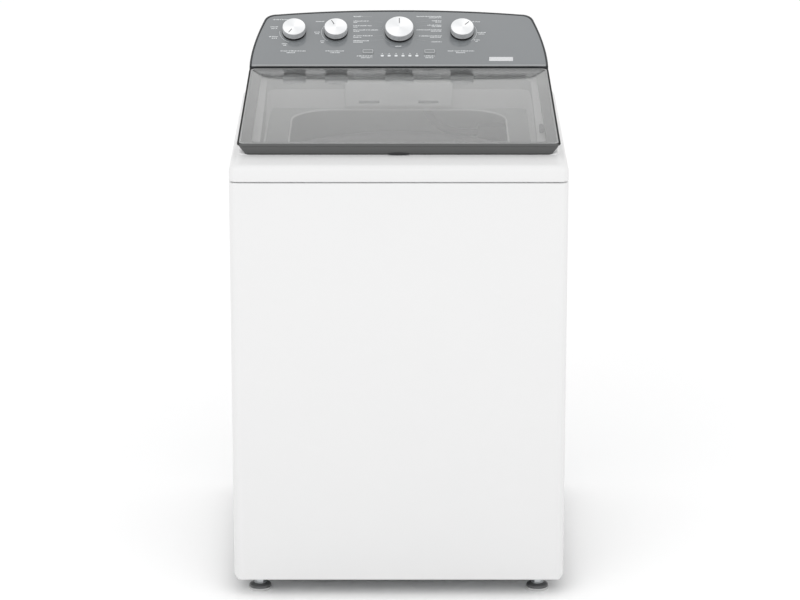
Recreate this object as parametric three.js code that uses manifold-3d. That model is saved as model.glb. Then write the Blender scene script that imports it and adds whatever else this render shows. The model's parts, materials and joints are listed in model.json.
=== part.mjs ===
// Top load washing machine: a painted steel cabinet on four levelling feet, a sloping glass lid,
// a raised console with four knobs, and a suspended tub with its basket, wash plate and belt drive.
// Millimetres, +Z up, the front faces -Y, the origin is on the floor below the middle of the machine.

import * as THREE from "three";
import { mergeVertices } from "three/addons/utils/BufferGeometryUtils.js";
import Module from "manifold-3d";

const wasm = await Module();
wasm.setup();

// ---------------------------------------------------------------- driving dimensions

const HALF_WIDTH = 343;
const FRONT = -350;
const REAR_LIMIT = 350;
const SHEET = 0.8;
const GAP = 0.3;

const CABINET = { bottom: 32.5, top: 885, rear: 335, cornerRadius: 16, flange: 25, chamfer: 9 };
const REAR_PANEL = { inner: CABINET.rear + GAP, outer: CABINET.rear + GAP + SHEET };

const RAIL = { bottom: 46, top: 60, width: 74, thickness: 1.8, halfLength: 326 };
const FOOT = { x: 290, frontY: -310, rearY: 295, padRadius: 24, studRadius: 5, studTop: 82 };

const TOP = { bottom: 887.4, rear: 338, shoulder: 920.5, deck: 912, lip: 908, skirt: 878, skin: 2.3 };
const COLLAR = { halfWidth: 324, front: -282, rear: 206, frontTop: 929.5, rearTop: 980 };
const MOUTH = { halfWidth: 228, front: -230, rear: 189, radius: 93 };

const LID = { frontY: -289.5, frontZ: 951.5, slope: 5.84, length: 491, depth: 21, rearDepth: 13 };
const LID_HALF = { front: 328.5, rear: 322.5 };
const GLASS = { rim: 4, thickness: 4, seat: 4.6 };
const HINGE = {
  v: 486.5, w: -9.5, pinRadius: 2.5, boreRadius: 2.9, eye: 4.9, notch: [288, 307], pin: [281, 313],
};
const STRIKE = { x: [290, 298], y: [-156, -142], bottom: 900, window: [905, 915] };
const BOLT = { width: 5, height: 6, x: [301, 317], z: 910 };

const CONSOLE = { y: 206.5, z: 1002.8, slope: 34, halfWidth: 322.5, top: 170.4, wall: 2.5 };
const FASCIA = { border: 4, foot: 0.8, surface: -0.6, thickness: 3 };
const KNOB = { v: 102, height: 18, smallRadius: 25.3, bigRadius: 31, shaftRadius: 3 };
const KNOBS = [
  { name: "temperature_knob", u: -228, radius: KNOB.smallRadius },
  { name: "water_level_knob", u: -137, radius: KNOB.smallRadius },
  { name: "cycle_knob", u: 1, radius: KNOB.bigRadius },
  { name: "rinse_knob", u: 138, radius: KNOB.smallRadius },
];
const BUTTON = { width: 25, height: 14, v: 43 };
const BUTTONS = [
  { name: "option_button", u: -67 },
  { name: "start_button", u: 67 },
];
const LENS = { u: 1.5, v: 33, width: 90, height: 12 };
const BOARD = { w: -27, thickness: 1.6, u: [-262, 180], v: [22, 132] };

const TUB = { y: -20, radius: 272, wall: 4, bottom: 236, top: 830 };
const ROD = { reach: 272, radius: 3, bottom: 196, bracketTop: 869, bracketLeg: 185 };
const LUG = { bottom: 252, top: 268, width: 40, end: 405 };
const BASKET = { radius: 256, wall: 0.8, bottom: 258, top: 789 };
const BALANCE = { outer: 262, inner: 234, bottom: 789.6, top: 824 };
const PLATE_RADIUS = 188;
const SHAFT_RADIUS = 8;
const SPIN_TUBE_RADIUS = 20;
const PULLEY = { big: 85, small: 22, bottom: 108, top: 122 };
const MOTOR = { x: 150, y: 70, radius: 62, bottom: 127, top: 225 };
const PUMP = { x: -150, y: 70, radius: 42, bottom: 150, top: 205 };

const INLET = { z: 830, x: [195, 245], radius: 13, bore: 9 };
const OUTLET = { x: -200, z: 790, radius: 16, bore: 11 };
const GLAND = { x: -265, z: 845, radius: 9, bore: 5 };
const FLUME = { halfWidth: 116, front: 181, rear: 194.8, bottom: 918, top: 972, inletX: 60, inletZ: 945 };

const rad = THREE.MathUtils.degToRad;

// ---------------------------------------------------------------- materials

const material = (color, roughness, metalness = 0) =>
  new THREE.MeshStandardMaterial({ color, roughness, metalness });
const WHITE_ENAMEL = () => material(0xf2f2f2, 0.3);
const DARK_PLASTIC = () => material(0x4c5052, 0.35);
const GREY_FASCIA = () => material(0x8c9093, 0.2);
const WHITE_PLASTIC = () => material(0xe6e8e8, 0.5);
const BLACK_PLASTIC = () => material(0x26282a, 0.5);
const STEEL = () => material(0xb8bcc0, 0.35, 1);
const GALVANISED = () => material(0xa9adb0, 0.45, 1);
const RUBBER = () => material(0x222222, 0.85);
const SILVER = () => material(0xd9dcdf, 0.3, 0.8);

// ---------------------------------------------------------------- solids

// A closed geometry as a manifold solid, whichever way its faces turn.
function solid(geometry) {
  const bare = new THREE.BufferGeometry();
  bare.setAttribute("position", geometry.getAttribute("position"));
  if (geometry.index) bare.setIndex(geometry.index);
  const merged = mergeVertices(bare, 1e-4);
  const triVerts = new Uint32Array(merged.index.array);
  const vertProperties = merged.attributes.position.array;
  const make = () => new wasm.Manifold(new wasm.Mesh({ numProp: 3, vertProperties, triVerts }));
  const made = make();
  if (made.volume() > 0) return made;
  for (let i = 0; i < triVerts.length; i += 3)
    [triVerts[i + 1], triVerts[i + 2]] = [triVerts[i + 2], triVerts[i + 1]];
  return make();
}

function geometryOf(made) {
  const mesh = made.getMesh();
  const geometry = new THREE.BufferGeometry();
  geometry.setAttribute("position", new THREE.BufferAttribute(mesh.vertProperties, 3));
  geometry.setIndex(new THREE.BufferAttribute(mesh.triVerts, 1));
  return geometry;
}

const join = (...pieces) => geometryOf(pieces.map(solid).reduce((a, b) => a.add(b)));
const cut = (base, ...tools) =>
  geometryOf(tools.map(solid).reduce((a, b) => a.subtract(b), solid(base)));
const common = (a, b) => geometryOf(solid(a).intersect(solid(b)));

function box([x0, x1], [y0, y1], [z0, z1]) {
  const geometry = new THREE.BoxGeometry(x1 - x0, y1 - y0, z1 - z0);
  return geometry.translate((x0 + x1) / 2, (y0 + y1) / 2, (z0 + z1) / 2);
}

// A profile of [radius, height] points turned about the vertical axis through (x, y).
function turned(profile, segments = 24, x = 0, y = 0) {
  const points = profile.map(([r, z]) => new THREE.Vector2(r, z));
  const geometry = new THREE.LatheGeometry(points, segments);
  return geometry.rotateX(Math.PI / 2).translate(x, y, 0);
}

// A ring: a closed profile of [radius, height] points.
const turnedRing = (profile, segments, x, y) => turned([...profile, profile[0]], segments, x, y);

const post = (radius, [z0, z1], x = 0, y = 0, segments = 16) =>
  turned([[0, z0], [radius, z0], [radius, z1], [0, z1]], segments, x, y);

// A round bar along Y or along X.
const barY = (radius, x, [y0, y1], z, segments = 16) =>
  post(radius, [0, y1 - y0], 0, 0, segments).rotateX(-Math.PI / 2).translate(x, y0, z);
const barX = (radius, [x0, x1], y, z, segments = 16) =>
  post(radius, [0, x1 - x0], 0, 0, segments).rotateY(Math.PI / 2).translate(x0, y, z);

const polygon = (points) => new THREE.Shape(points.map(([x, y]) => new THREE.Vector2(x, y)));
const extruded = (shape, depth) =>
  new THREE.ExtrudeGeometry(shape, { depth, bevelEnabled: false, curveSegments: 6 });

// A profile of [y, z] points drawn out along X.
const alongX = (points, halfLength) =>
  extruded(polygon(points), 2 * halfLength)
    .applyMatrix4(new THREE.Matrix4().makeBasis(
      new THREE.Vector3(0, 1, 0), new THREE.Vector3(0, 0, 1), new THREE.Vector3(1, 0, 0)))
    .translate(-halfLength, 0, 0);

// A solid hose along a smooth curve through the points.
function hose(points, radius, steps) {
  const path = new THREE.CatmullRomCurve3(points.map((p) => new THREE.Vector3(...p)));
  const section = new THREE.Shape().absarc(0, 0, radius, 0, 2 * Math.PI);
  return new THREE.ExtrudeGeometry(section, {
    steps, extrudePath: path, bevelEnabled: false, curveSegments: 5,
  });
}

// A rounded four-sided loop. Its half-width may differ at the front and the rear, and its height
// is a number or a function of y.
function loop({ half, rearHalf = half, front, rear, radius, height }) {
  const steps = 6;
  const points = [];
  const corners = [
    [half - radius, front + radius, -90],
    [rearHalf - radius, rear - radius, 0],
    [-rearHalf + radius, rear - radius, 90],
    [-half + radius, front + radius, 180],
  ];
  for (const [cx, cy, start] of corners)
    for (let i = 0; i <= steps; i++) {
      const angle = rad(start + (90 * i) / steps);
      const y = cy + radius * Math.sin(angle);
      const z = typeof height === "function" ? height(y) : height;
      points.push([cx + radius * Math.cos(angle), y, z]);
    }
  return points;
}

// The closed skin of a ring whose section runs through the loops and back to the first.
function ringOf(loops) {
  const count = loops[0].length;
  const index = [];
  loops.forEach((_, i) => {
    const next = (i + 1) % loops.length;
    for (let j = 0; j < count; j++) {
      const [a, b] = [i * count + j, i * count + ((j + 1) % count)];
      const [d, c] = [next * count + j, next * count + ((j + 1) % count)];
      index.push(a, b, c, a, c, d);
    }
  });
  const geometry = new THREE.BufferGeometry();
  geometry.setAttribute("position", new THREE.Float32BufferAttribute(loops.flat(2), 3));
  geometry.setIndex(index);
  return geometryOf(solid(geometry));
}

// ---------------------------------------------------------------- scene graph

const machine = new THREE.Group();
const lid = new THREE.Group();
lid.position.set(0, LID.frontY, LID.frontZ);
lid.rotation.x = rad(LID.slope);
const controls = new THREE.Group();
controls.position.set(0, CONSOLE.y, CONSOLE.z);
controls.rotation.x = rad(CONSOLE.slope);
machine.add(lid, controls);

function add(group, name, geometry, look) {
  const mesh = new THREE.Mesh(geometry, look);
  mesh.name = name;
  group.add(mesh);
  return mesh;
}

// ---------------------------------------------------------------- cabinet

// Front and sides are one sheet, turned in at the rear edges, with a welded bracket in each upper corner.
function cabinetShell() {
  const { rear, cornerRadius: r, flange, bottom, top, chamfer } = CABINET;
  const inside = HALF_WIDTH - SHEET;
  const shape = new THREE.Shape();
  shape.moveTo(HALF_WIDTH - flange, rear);
  shape.lineTo(HALF_WIDTH, rear);
  shape.lineTo(HALF_WIDTH, FRONT + r);
  shape.absarc(HALF_WIDTH - r, FRONT + r, r, 0, -Math.PI / 2, true);
  shape.absarc(-HALF_WIDTH + r, FRONT + r, r, -Math.PI / 2, -Math.PI, true);
  shape.lineTo(-HALF_WIDTH, rear);
  shape.lineTo(-HALF_WIDTH + flange, rear);
  shape.lineTo(-HALF_WIDTH + flange, rear - SHEET);
  shape.lineTo(-inside, rear - SHEET);
  shape.absarc(-HALF_WIDTH + r, FRONT + r, r - SHEET, Math.PI, 1.5 * Math.PI, false);
  shape.absarc(HALF_WIDTH - r, FRONT + r, r - SHEET, -Math.PI / 2, 0, false);
  shape.lineTo(inside, rear - SHEET);
  shape.lineTo(HALF_WIDTH - flange, rear - SHEET);
  const wrap = extruded(shape, top - bottom).translate(0, 0, bottom);

  const out = HALF_WIDTH + 1;
  const chamfers = [-1, 1].map((side) =>
    extruded(polygon([
      [side * (HALF_WIDTH - chamfer), bottom - 1],
      [side * out, bottom - 1],
      [side * out, bottom + chamfer],
    ]), REAR_LIMIT - FRONT + 2).rotateX(Math.PI / 2).translate(0, REAR_LIMIT + 1, 0));

  const brackets = [-1, 1].flatMap((side) =>
    [[FRONT + 0.6, 1], [rear - 0.6, -1]].map(([y, inward]) =>
      extruded(polygon([
        [side * (HALF_WIDTH - 0.6), y + inward * CABINET.cornerRadius * 0.4],
        [side * (HALF_WIDTH - 0.6), y + inward * ROD.bracketLeg],
        [side * (HALF_WIDTH - ROD.bracketLeg), y],
        [side * (HALF_WIDTH - CABINET.cornerRadius * 0.4), y],
      ]), 3).translate(0, 0, ROD.bracketTop - 3)));
  const rodHoles = rodPlaces().map(([x, y]) => post(5, [ROD.bracketTop - 5, ROD.bracketTop + 2], x, y));
  return cut(join(wrap, ...brackets), ...chamfers, ...rodHoles);
}

const rodPlaces = () =>
  [[-1, -1], [1, -1], [-1, 1], [1, 1]].map(([i, j]) => [i * ROD.reach, TUB.y + j * ROD.reach]);

// The rear panel closes the back, with holes for the water, the drain and the cord gland.
function rearPanel() {
  const { inner, outer } = REAR_PANEL;
  const sheet = box([-341, 341], [inner, outer], [CABINET.bottom + 12, CABINET.top]);
  const through = [inner - 2, outer + 2];
  const holes = [
    ...INLET.x.map((x) => barY(INLET.radius + 0.8, x, through, INLET.z)),
    barY(OUTLET.radius + 0.8, OUTLET.x, through, OUTLET.z),
    barY(GLAND.radius + 0.5, GLAND.x, through, GLAND.z),
  ];
  return cut(sheet, ...holes);
}

// A channel, open downwards, that the feet screw into.
function baseRail(y0) {
  const { bottom, top, width, thickness: t, halfLength } = RAIL;
  const y1 = y0 + width;
  const channel = alongX([
    [y0, bottom], [y0 + t, bottom], [y0 + t, top - t], [y1 - t, top - t],
    [y1 - t, bottom], [y1, bottom], [y1, top], [y0, top],
  ], halfLength);
  const footY = y0 < 0 ? FOOT.frontY : FOOT.rearY;
  const holes = [-1, 1].map((side) =>
    post(FOOT.studRadius + 0.5, [bottom, top + 2], side * FOOT.x, footY));
  return cut(channel, ...holes);
}

// A levelling foot: a round pad, a hexagon to turn it by, and a stud into the rail.
function levellingFoot(x, y) {
  const r = FOOT.padRadius;
  const pad = turned([[0, 0], [r - 1.5, 0], [r, 2], [r, 8], [r - 5, 12], [11, 14], [0, 14]], 18, x, y);
  const hexagon = post(11, [13, 25], x, y, 6);
  return join(pad, hexagon, post(FOOT.studRadius, [24, FOOT.studTop], x, y, 12));
}

add(machine, "cabinet_shell", cabinetShell(), WHITE_ENAMEL());
add(machine, "rear_panel", rearPanel(), GALVANISED());
add(machine, "front_base_rail", baseRail(FRONT + SHEET + 0.5), GALVANISED());
add(machine, "rear_base_rail", baseRail(CABINET.rear - SHEET - 0.5 - RAIL.width), GALVANISED());
const CORNERS = { front_left: [-1, FOOT.frontY], front_right: [1, FOOT.frontY],
  rear_left: [-1, FOOT.rearY], rear_right: [1, FOOT.rearY] };
for (const [place, [side, y]] of Object.entries(CORNERS))
  add(machine, "foot_" + place, levellingFoot(side * FOOT.x, y), RUBBER());

// ---------------------------------------------------------------- top panel

const collarTop = (y) =>
  COLLAR.frontTop + ((COLLAR.rearTop - COLLAR.frontTop) * (y - COLLAR.front)) / (COLLAR.rear - COLLAR.front);
const collarFoot = (y) => 922.5 + (208 - y) * 0.009;

// One skin: skirt, rounded shoulder, sloping collar below the lid, sunk deck, and the lip of the mouth.
function topPanel() {
  const { bottom, rear, shoulder, deck, lip, skirt, skin } = TOP;
  const { halfWidth: c, front: cf, rear: cr } = COLLAR;
  const mouth = (grow, height) => loop({
    half: MOUTH.halfWidth + grow, front: MOUTH.front - grow, rear: MOUTH.rear + grow,
    radius: MOUTH.radius + grow, height,
  });
  const edge = (inset, radius, height) => loop({
    half: HALF_WIDTH - inset, front: FRONT + inset, rear: rear - inset, radius, height,
  });
  const below = (y) => collarTop(y) - skin;
  const pressing = ringOf([
    edge(0, 16, bottom),
    edge(0, 16, 908),
    edge(1.4, 15, 915),
    edge(5.5, 12, shoulder),
    loop({ half: c + 2, front: cf - 3, rear: cr + 2, radius: 12, height: collarFoot }),
    loop({ half: c, front: cf, rear: cr, radius: 12, height: collarTop }),
    loop({ half: 284, front: -262, rear: 198, radius: 24, height: collarTop }),
    loop({ half: 280, front: -258, rear: 195.5, radius: 24, height: deck }),
    mouth(0, deck),
    mouth(-1.5, lip),
    mouth(1, lip),
    mouth(2.5, deck - skin),
    loop({ half: 282.3, front: -260.3, rear: 197.8, radius: 26, height: deck - skin }),
    loop({ half: 286.3, front: -264.3, rear: 200.2, radius: 26, height: below }),
    loop({ half: c - skin, front: cf + skin, rear: cr - skin, radius: 10, height: below }),
    loop({ half: c - 0.5, front: cf - 0.5, rear: cr - 0.4, radius: 10, height: (y) => collarFoot(y) - skin }),
    edge(8, 10, shoulder - skin),
    loop({ half: 338.4, front: -345.4, rear: 330, radius: 12, height: 910 }),
    loop({ half: 338.4, front: -345.4, rear: 330, radius: 12, height: skirt }),
    loop({ half: 340.9, front: -347.9, rear: 332.5, radius: 14, height: skirt }),
    loop({ half: 340.9, front: -347.9, rear: 332.5, radius: 14, height: bottom }),
  ]);
  return cut(pressing,
    box([STRIKE.x[0] - 2, STRIKE.x[1] + 2], [STRIKE.y[0] - 14, STRIKE.y[1] + 3], [930, 960]),
    barY(12, FLUME.inletX, [185, 212], FLUME.inletZ),
    post(16, [900, 930], FLUME.inletX, 295));
}

// The flume spreads the incoming water over the mouth, through the slot in its underside.
function fillFlume() {
  const { halfWidth, front, rear, bottom, top, inletX, inletZ } = FLUME;
  const body = box([-halfWidth, halfWidth], [front, rear], [bottom, top]);
  const hollow = box([4 - halfWidth, halfWidth - 4], [front + 3, rear - 3], [bottom - 1, top - 4]);
  const stub = barY(11, inletX, [rear - 2, rear + 22], inletZ);
  const bore = barY(8, inletX, [rear - 5, rear + 23], inletZ);
  return cut(join(cut(body, hollow), stub), bore);
}

add(machine, "top_panel", topPanel(), WHITE_ENAMEL());
add(machine, "fill_flume", fillFlume(), WHITE_PLASTIC());

// ---------------------------------------------------------------- lid

const lidBottom = (v) => -LID.depth + ((LID.depth - LID.rearDepth) * v) / LID.length;

// A loop of the lid, drawn in from its outline at the sides, the front and the rear.
const lidLoop = (side, front, rear, radius, height) => loop({
  half: LID_HALF.front - side, rearHalf: LID_HALF.rear - side,
  front, rear: LID.length - rear, radius, height,
});

const hingeNotches = () => [-1, 1].map((side) => {
  const [x0, x1] = HINGE.notch.map((x) => side * x).sort((a, b) => a - b);
  return box([x0, x1], [LID.length - 19, LID.length + 5], [-30, -3.7]);
});
const hingeBores = () => [-1, 1].map((side) => {
  const [x0, x1] = HINGE.pin.map((x) => side * x).sort((a, b) => a - b);
  return barX(HINGE.boreRadius, [x0 - GAP, x1 + GAP], HINGE.v, HINGE.w);
});

// The frame seats the glass in a rebate, and its sides are cut away underneath.
function lidFrame() {
  const { rim, seat } = GLASS;
  const frame = ringOf([
    lidLoop(0, 0, 0, 14, -3.5),
    lidLoop(0.8, 0.8, 2, 13, -0.4),
    lidLoop(rim, rim, rim + 3, 10, 0),
    lidLoop(rim, rim, rim + 3, 10, -seat),
    lidLoop(27, 27, 22, 12, -seat),
    lidLoop(27, 27, 22, 12, lidBottom),
    lidLoop(14, 2, 4, 12, lidBottom),
  ]);
  const fingerRecess = box([-24, 24], [-2, 30], [-25, -13]);
  return cut(frame, fingerRecess, ...hingeNotches(), ...hingeBores());
}

function lidGlass() {
  const inset = GLASS.rim + GAP;
  const outline = lidLoop(inset, inset, inset + 3, 9.7, 0).map(([x, y]) => [x, y]);
  return extruded(polygon(outline), GLASS.thickness).translate(0, 0, GAP - GLASS.seat);
}

// The strike hangs from the right rim of the lid and enters the lock through the collar.
function lidStrike() {
  const { x, y, bottom, window } = STRIKE;
  const rimInside = LID_HALF.front - 27 - 2.2;
  const tongue = box(x, y, [bottom, 955]);
  const tab = box([x[0], rimInside], [y[0] - 10, y[1] + 10], [947, 955]);
  const hole = box([x[0] - 1, x[1] + 1], [y[0] + 3, y[1] - 3], window);
  return cut(join(tongue, tab), hole);
}

function lidLock() {
  const { x, y } = STRIKE;
  const middle = (y[0] + y[1]) / 2;
  const body = box([287.2, 320], [-176, -114], [893, 934]);
  const slot = box([x[0] - 1.5, x[1] + 1.5], [y[0] - 13, y[1] + 2], [892, 935]);
  const channel = box([x[1], BOLT.x[1] + GAP], [middle - 3.2, middle + 3.2], [BOLT.z - 3.5, BOLT.z + 3.5]);
  return cut(body, slot, channel);
}

function lockBolt() {
  const middle = (STRIKE.y[0] + STRIKE.y[1]) / 2;
  const nose = box(BOLT.x, [middle - BOLT.width / 2, middle + BOLT.width / 2],
    [BOLT.z - BOLT.height / 2, BOLT.z + BOLT.height / 2]);
  return nose;
}

// A bush stands on the collar behind the lid and holds one hinge pin.
function hingeBush(side) {
  const [x0, x1] = [HINGE.notch[0] + 1, HINGE.notch[1] - 1].map((x) => side * x).sort((a, b) => a - b);
  const slope = rad(LID.slope);
  const y = LID.frontY + HINGE.v * Math.cos(slope) - HINGE.w * Math.sin(slope);
  const z = LID.frontZ + HINGE.v * Math.sin(slope) + HINGE.w * Math.cos(slope);
  const eye = barX(HINGE.eye, [x0, x1], y, z, 20);
  const foot = COLLAR.rearTop + 0.4;
  const leg = alongX([[y - 3, z - 3.2], [y + 3, z - 3.2], [205, foot + 3], [205, foot], [198.8, foot]],
    (x1 - x0) / 2).translate((x0 + x1) / 2, 0, 0);
  return cut(join(eye, leg), barX(HINGE.boreRadius, [x0 - 1, x1 + 1], y, z));
}

add(lid, "lid_frame", lidFrame(), DARK_PLASTIC());
const glass = add(lid, "lid_glass", lidGlass(), material(0x6c7072, 0.05));
glass.material.transparent = true;
glass.material.opacity = 0.5;
for (const [name, side] of [["left", -1], ["right", 1]]) {
  const ends = HINGE.pin.map((x) => side * x).sort((a, b) => a - b);
  add(lid, "lid_hinge_pin_" + name, barX(HINGE.pinRadius, ends, HINGE.v, HINGE.w), STEEL());
  add(machine, "hinge_bush_" + name, hingeBush(side), BLACK_PLASTIC());
}
add(machine, "lid_strike", lidStrike(), BLACK_PLASTIC());
add(machine, "lid_lock", lidLock(), BLACK_PLASTIC());
add(machine, "lock_bolt", lockBolt(), STEEL());

// ---------------------------------------------------------------- console

// Half-width of the console at a height v up its slope, and height of its crown at a distance u.
const consoleSide = (v) => CONSOLE.halfWidth - 27.5 * (Math.max(v, 0) / 135) ** 1.7;
const consoleCrown = (u) => CONSOLE.top - 13 * (Math.abs(u) / 265) ** 2.2;

// The console's outline in its own plane, drawn in by an inset and let down by a drop at its foot.
function consoleOutline(inset = 0, foot = 2) {
  const middle = 86;
  const shrink = (x, y) => [
    x * (1 - inset / CONSOLE.halfWidth),
    y < foot + 1 ? y + inset : middle + (y - middle) * (1 - inset / middle),
  ];
  const right = [];
  right.push([consoleSide(0), foot]);
  if (foot < 0) right.push([consoleSide(0), 0]);
  for (let v = 20; v <= 137; v += 19.5) right.push([consoleSide(v), v]);
  const corner = new THREE.QuadraticBezierCurve(
    new THREE.Vector2(consoleSide(137), 137), new THREE.Vector2(289, 155.5),
    new THREE.Vector2(265, consoleCrown(265)));
  for (const p of corner.getPoints(5)) right.push([p.x, p.y]);
  for (let u = 212; u > 0; u -= 53) right.push([u, consoleCrown(u)]);
  const left = right.map(([x, y]) => [-x, y]).reverse();
  return polygon([...right, [0, consoleCrown(0)], ...left].map(([x, y]) => shrink(x, y)));
}

// A block below the console's plane, from one height w to another.
const consoleBlock = (inset, w0, w1, foot) =>
  extruded(consoleOutline(inset, foot), w1 - w0).translate(0, 0, w0);

const inMachine = (geometry) => geometry.applyMatrix4(
  new THREE.Matrix4().makeTranslation(0, CONSOLE.y, CONSOLE.z)
    .multiply(new THREE.Matrix4().makeRotationX(rad(CONSOLE.slope))));

// The housing is the outline carried down square to the fascia, kept between the rear limit and the deck.
function consoleHousing() {
  const sideProfile = (inset) => alongX([
    [208.5 + 1.5 * inset, 923 - inset], [208.5 + 1.5 * inset, 984 - inset], [CONSOLE.y + inset, 988 - inset],
    [CONSOLE.y + inset, 1130], [REAR_LIMIT - inset, 1130], [REAR_LIMIT - inset, 923 - inset],
  ], HALF_WIDTH);
  const outer = common(inMachine(consoleBlock(0, -220, 0, -70)), sideProfile(0));
  const inner = common(inMachine(consoleBlock(CONSOLE.wall, -220, -CONSOLE.wall - 3.4, -72)),
    sideProfile(CONSOLE.wall));
  const rebate = inMachine(consoleBlock(FASCIA.border, FASCIA.surface - FASCIA.thickness - GAP, 5, -20));
  const opening = inMachine(consoleBlock(10, -20, 5));
  const openFront = box([-314, 314], [204, 215], [900, 983]);
  return cut(outer, inner, rebate, opening, openFront);
}

function consoleFascia() {
  const { border, foot, surface, thickness } = FASCIA;
  const inset = border + GAP;
  const plate = consoleBlock(inset, surface - thickness, surface, foot - inset);
  const through = [surface - thickness - 1, surface + 1];
  const room = (width, height, u, v) => box(
    [u - width / 2, u + width / 2], [v - height / 2, v + height / 2], through,
  );
  return cut(plate,
    ...KNOBS.map(({ u }) => post(6, through, u, KNOB.v)),
    ...BUTTONS.map(({ u }) => room(BUTTON.width + 1, BUTTON.height + 1, u, BUTTON.v)),
    room(LENS.width + 0.6, LENS.height + 0.6, LENS.u, LENS.v));
}

// A knob in its own place: hollow for the shaft, with a shallow dish in its face.
function knob(radius) {
  return turned([
    [0, 12.9], [KNOB.shaftRadius + 0.4, 12.9], [KNOB.shaftRadius + 0.4, 1], [radius - 1.2, 1],
    [radius, 2.2], [radius - 0.6, KNOB.height - 1.5], [radius - 2.2, KNOB.height], [0, KNOB.height - 0.6],
  ], 24);
}

// The board carries one switch body below each knob.
function controlBoard() {
  const top = BOARD.w + BOARD.thickness;
  const board = box(BOARD.u, BOARD.v, [BOARD.w, top]);
  const bodies = KNOBS.map(({ u }) => box([u - 16, u + 16], [KNOB.v - 16, KNOB.v + 16], [top - 0.2, -7]));
  const bores = KNOBS.map(({ u }) => post(KNOB.shaftRadius + 0.4, [top + 1, -6], u, KNOB.v));
  return cut(join(board, ...bodies), ...bores);
}

add(machine, "console_housing", consoleHousing(), DARK_PLASTIC());
add(controls, "console_fascia", consoleFascia(), GREY_FASCIA());
add(controls, "control_board", controlBoard(), material(0x2c5a3a, 0.6));
add(controls, "indicator_lens",
  box([LENS.u - LENS.width / 2, LENS.u + LENS.width / 2],
    [LENS.v - LENS.height / 2, LENS.v + LENS.height / 2],
    [FASCIA.surface - FASCIA.thickness, FASCIA.surface + 0.1]), material(0x9ea2a5, 0.1));
for (const { name, u, radius } of KNOBS) {
  const turning = add(controls, name, knob(radius), SILVER());
  turning.position.set(u, KNOB.v, FASCIA.surface);
  const shaft = add(controls, name + "_shaft", post(KNOB.shaftRadius, [-23.5, 12], 0, 0, 12), STEEL());
  shaft.position.set(u, KNOB.v, 0);
}
for (const { name, u } of BUTTONS) {
  const cap = box(
    [-BUTTON.width / 2, BUTTON.width / 2], [-BUTTON.height / 2, BUTTON.height / 2], [-3.6, 0.4],
  );
  const stem = post(2.5, [-21, -3], 0, 0, 12);
  add(controls, name, join(cap, stem), GREY_FASCIA()).position.set(u, BUTTON.v, 0);
}

// ---------------------------------------------------------------- water and power

function inletValve() {
  const body = box(
    [INLET.x[0] - 22, INLET.x[1] + 22], [300, CABINET.rear - SHEET - 1], [INLET.z - 17, INLET.z + 17],
  );
  const length = [CABINET.rear - SHEET - 3, REAR_LIMIT];
  const ports = INLET.x.map((x) => barY(INLET.radius, x, length, INLET.z, 20));
  const bores = INLET.x.map((x) => barY(INLET.bore, x, [320, REAR_LIMIT + 1], INLET.z, 20));
  const outlet = barX(8, [INLET.x[0] - 34, INLET.x[0] - 20], 315, INLET.z);
  return cut(join(body, ...ports, outlet), ...bores);
}

// A flanged pipe through the rear panel, open from end to end.
function panelPipe({ x, z, radius, bore }, inside, outside, flange) {
  const pipe = barY(radius, x, [inside, outside], z, 16);
  const collar = barY(radius + 6, x, [REAR_PANEL.outer + GAP, REAR_PANEL.outer + GAP + flange], z, 16);
  return cut(join(pipe, collar), barY(bore, x, [inside - 1, outside + 1], z, 16));
}

const fillRoute = [
  [FLUME.inletX, FLUME.rear + 22.5, FLUME.inletZ], [FLUME.inletX, 240, 945], [FLUME.inletX, 270, 942],
  [FLUME.inletX, 290, 925], [FLUME.inletX, 298, 902], [66, 304, 874], [88, 311, 846],
  [125, 315, INLET.z + 1], [INLET.x[0] - 34.5, 315, INLET.z],
];
const drainRoute = [
  [PUMP.x, PUMP.y + PUMP.radius + 12.5, 178], [PUMP.x, 180, 178], [-152, 245, 178], [-170, 288, 200],
  [-194, 300, 260], [-200, 303, 400], [-200, 303, 560], [-200, 302, 700], [-200, 303, 752],
  [-200, 309, 783], [-200, 317.5, OUTLET.z],
];

add(machine, "inlet_valve", inletValve(), WHITE_PLASTIC());
add(machine, "fill_hose", hose(fillRoute, 9, 16), RUBBER());
add(machine, "drain_outlet", panelPipe(OUTLET, 326, REAR_LIMIT, 3), BLACK_PLASTIC());
add(machine, "cord_gland", panelPipe(GLAND, 326, 344, 4), BLACK_PLASTIC());
add(machine, "capacitor", turned([[0, 600], [22, 600], [22, 690], [12, 692], [0, 692]], 20, 290, 300),
  material(0x9aa0a4, 0.4, 0.9));

// ---------------------------------------------------------------- suspension

const SUSPENSION = ["front_left", "front_right", "rear_left", "rear_right"];
rodPlaces().forEach(([x, y], i) => {
  const { radius: r, bottom, bracketTop } = ROD;
  const rod = turned([
    [0, bottom], [15, bottom], [15, bottom + 5], [r, bottom + 6], [r, bracketTop + 0.5],
    [11, bracketTop + 0.5], [8, bracketTop + 7], [0, bracketTop + 8],
  ], 12, x, y);
  add(machine, "suspension_rod_" + SUSPENSION[i], rod, STEEL());
  const spring = turnedRing([
    [9, bottom + 6.5], [13, bottom + 6.5], [13, LUG.bottom - 0.5], [9, LUG.bottom - 0.5],
  ], 16, x, y);
  add(machine, "suspension_spring_" + SUSPENSION[i], spring, STEEL());
});

// ---------------------------------------------------------------- tub

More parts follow.
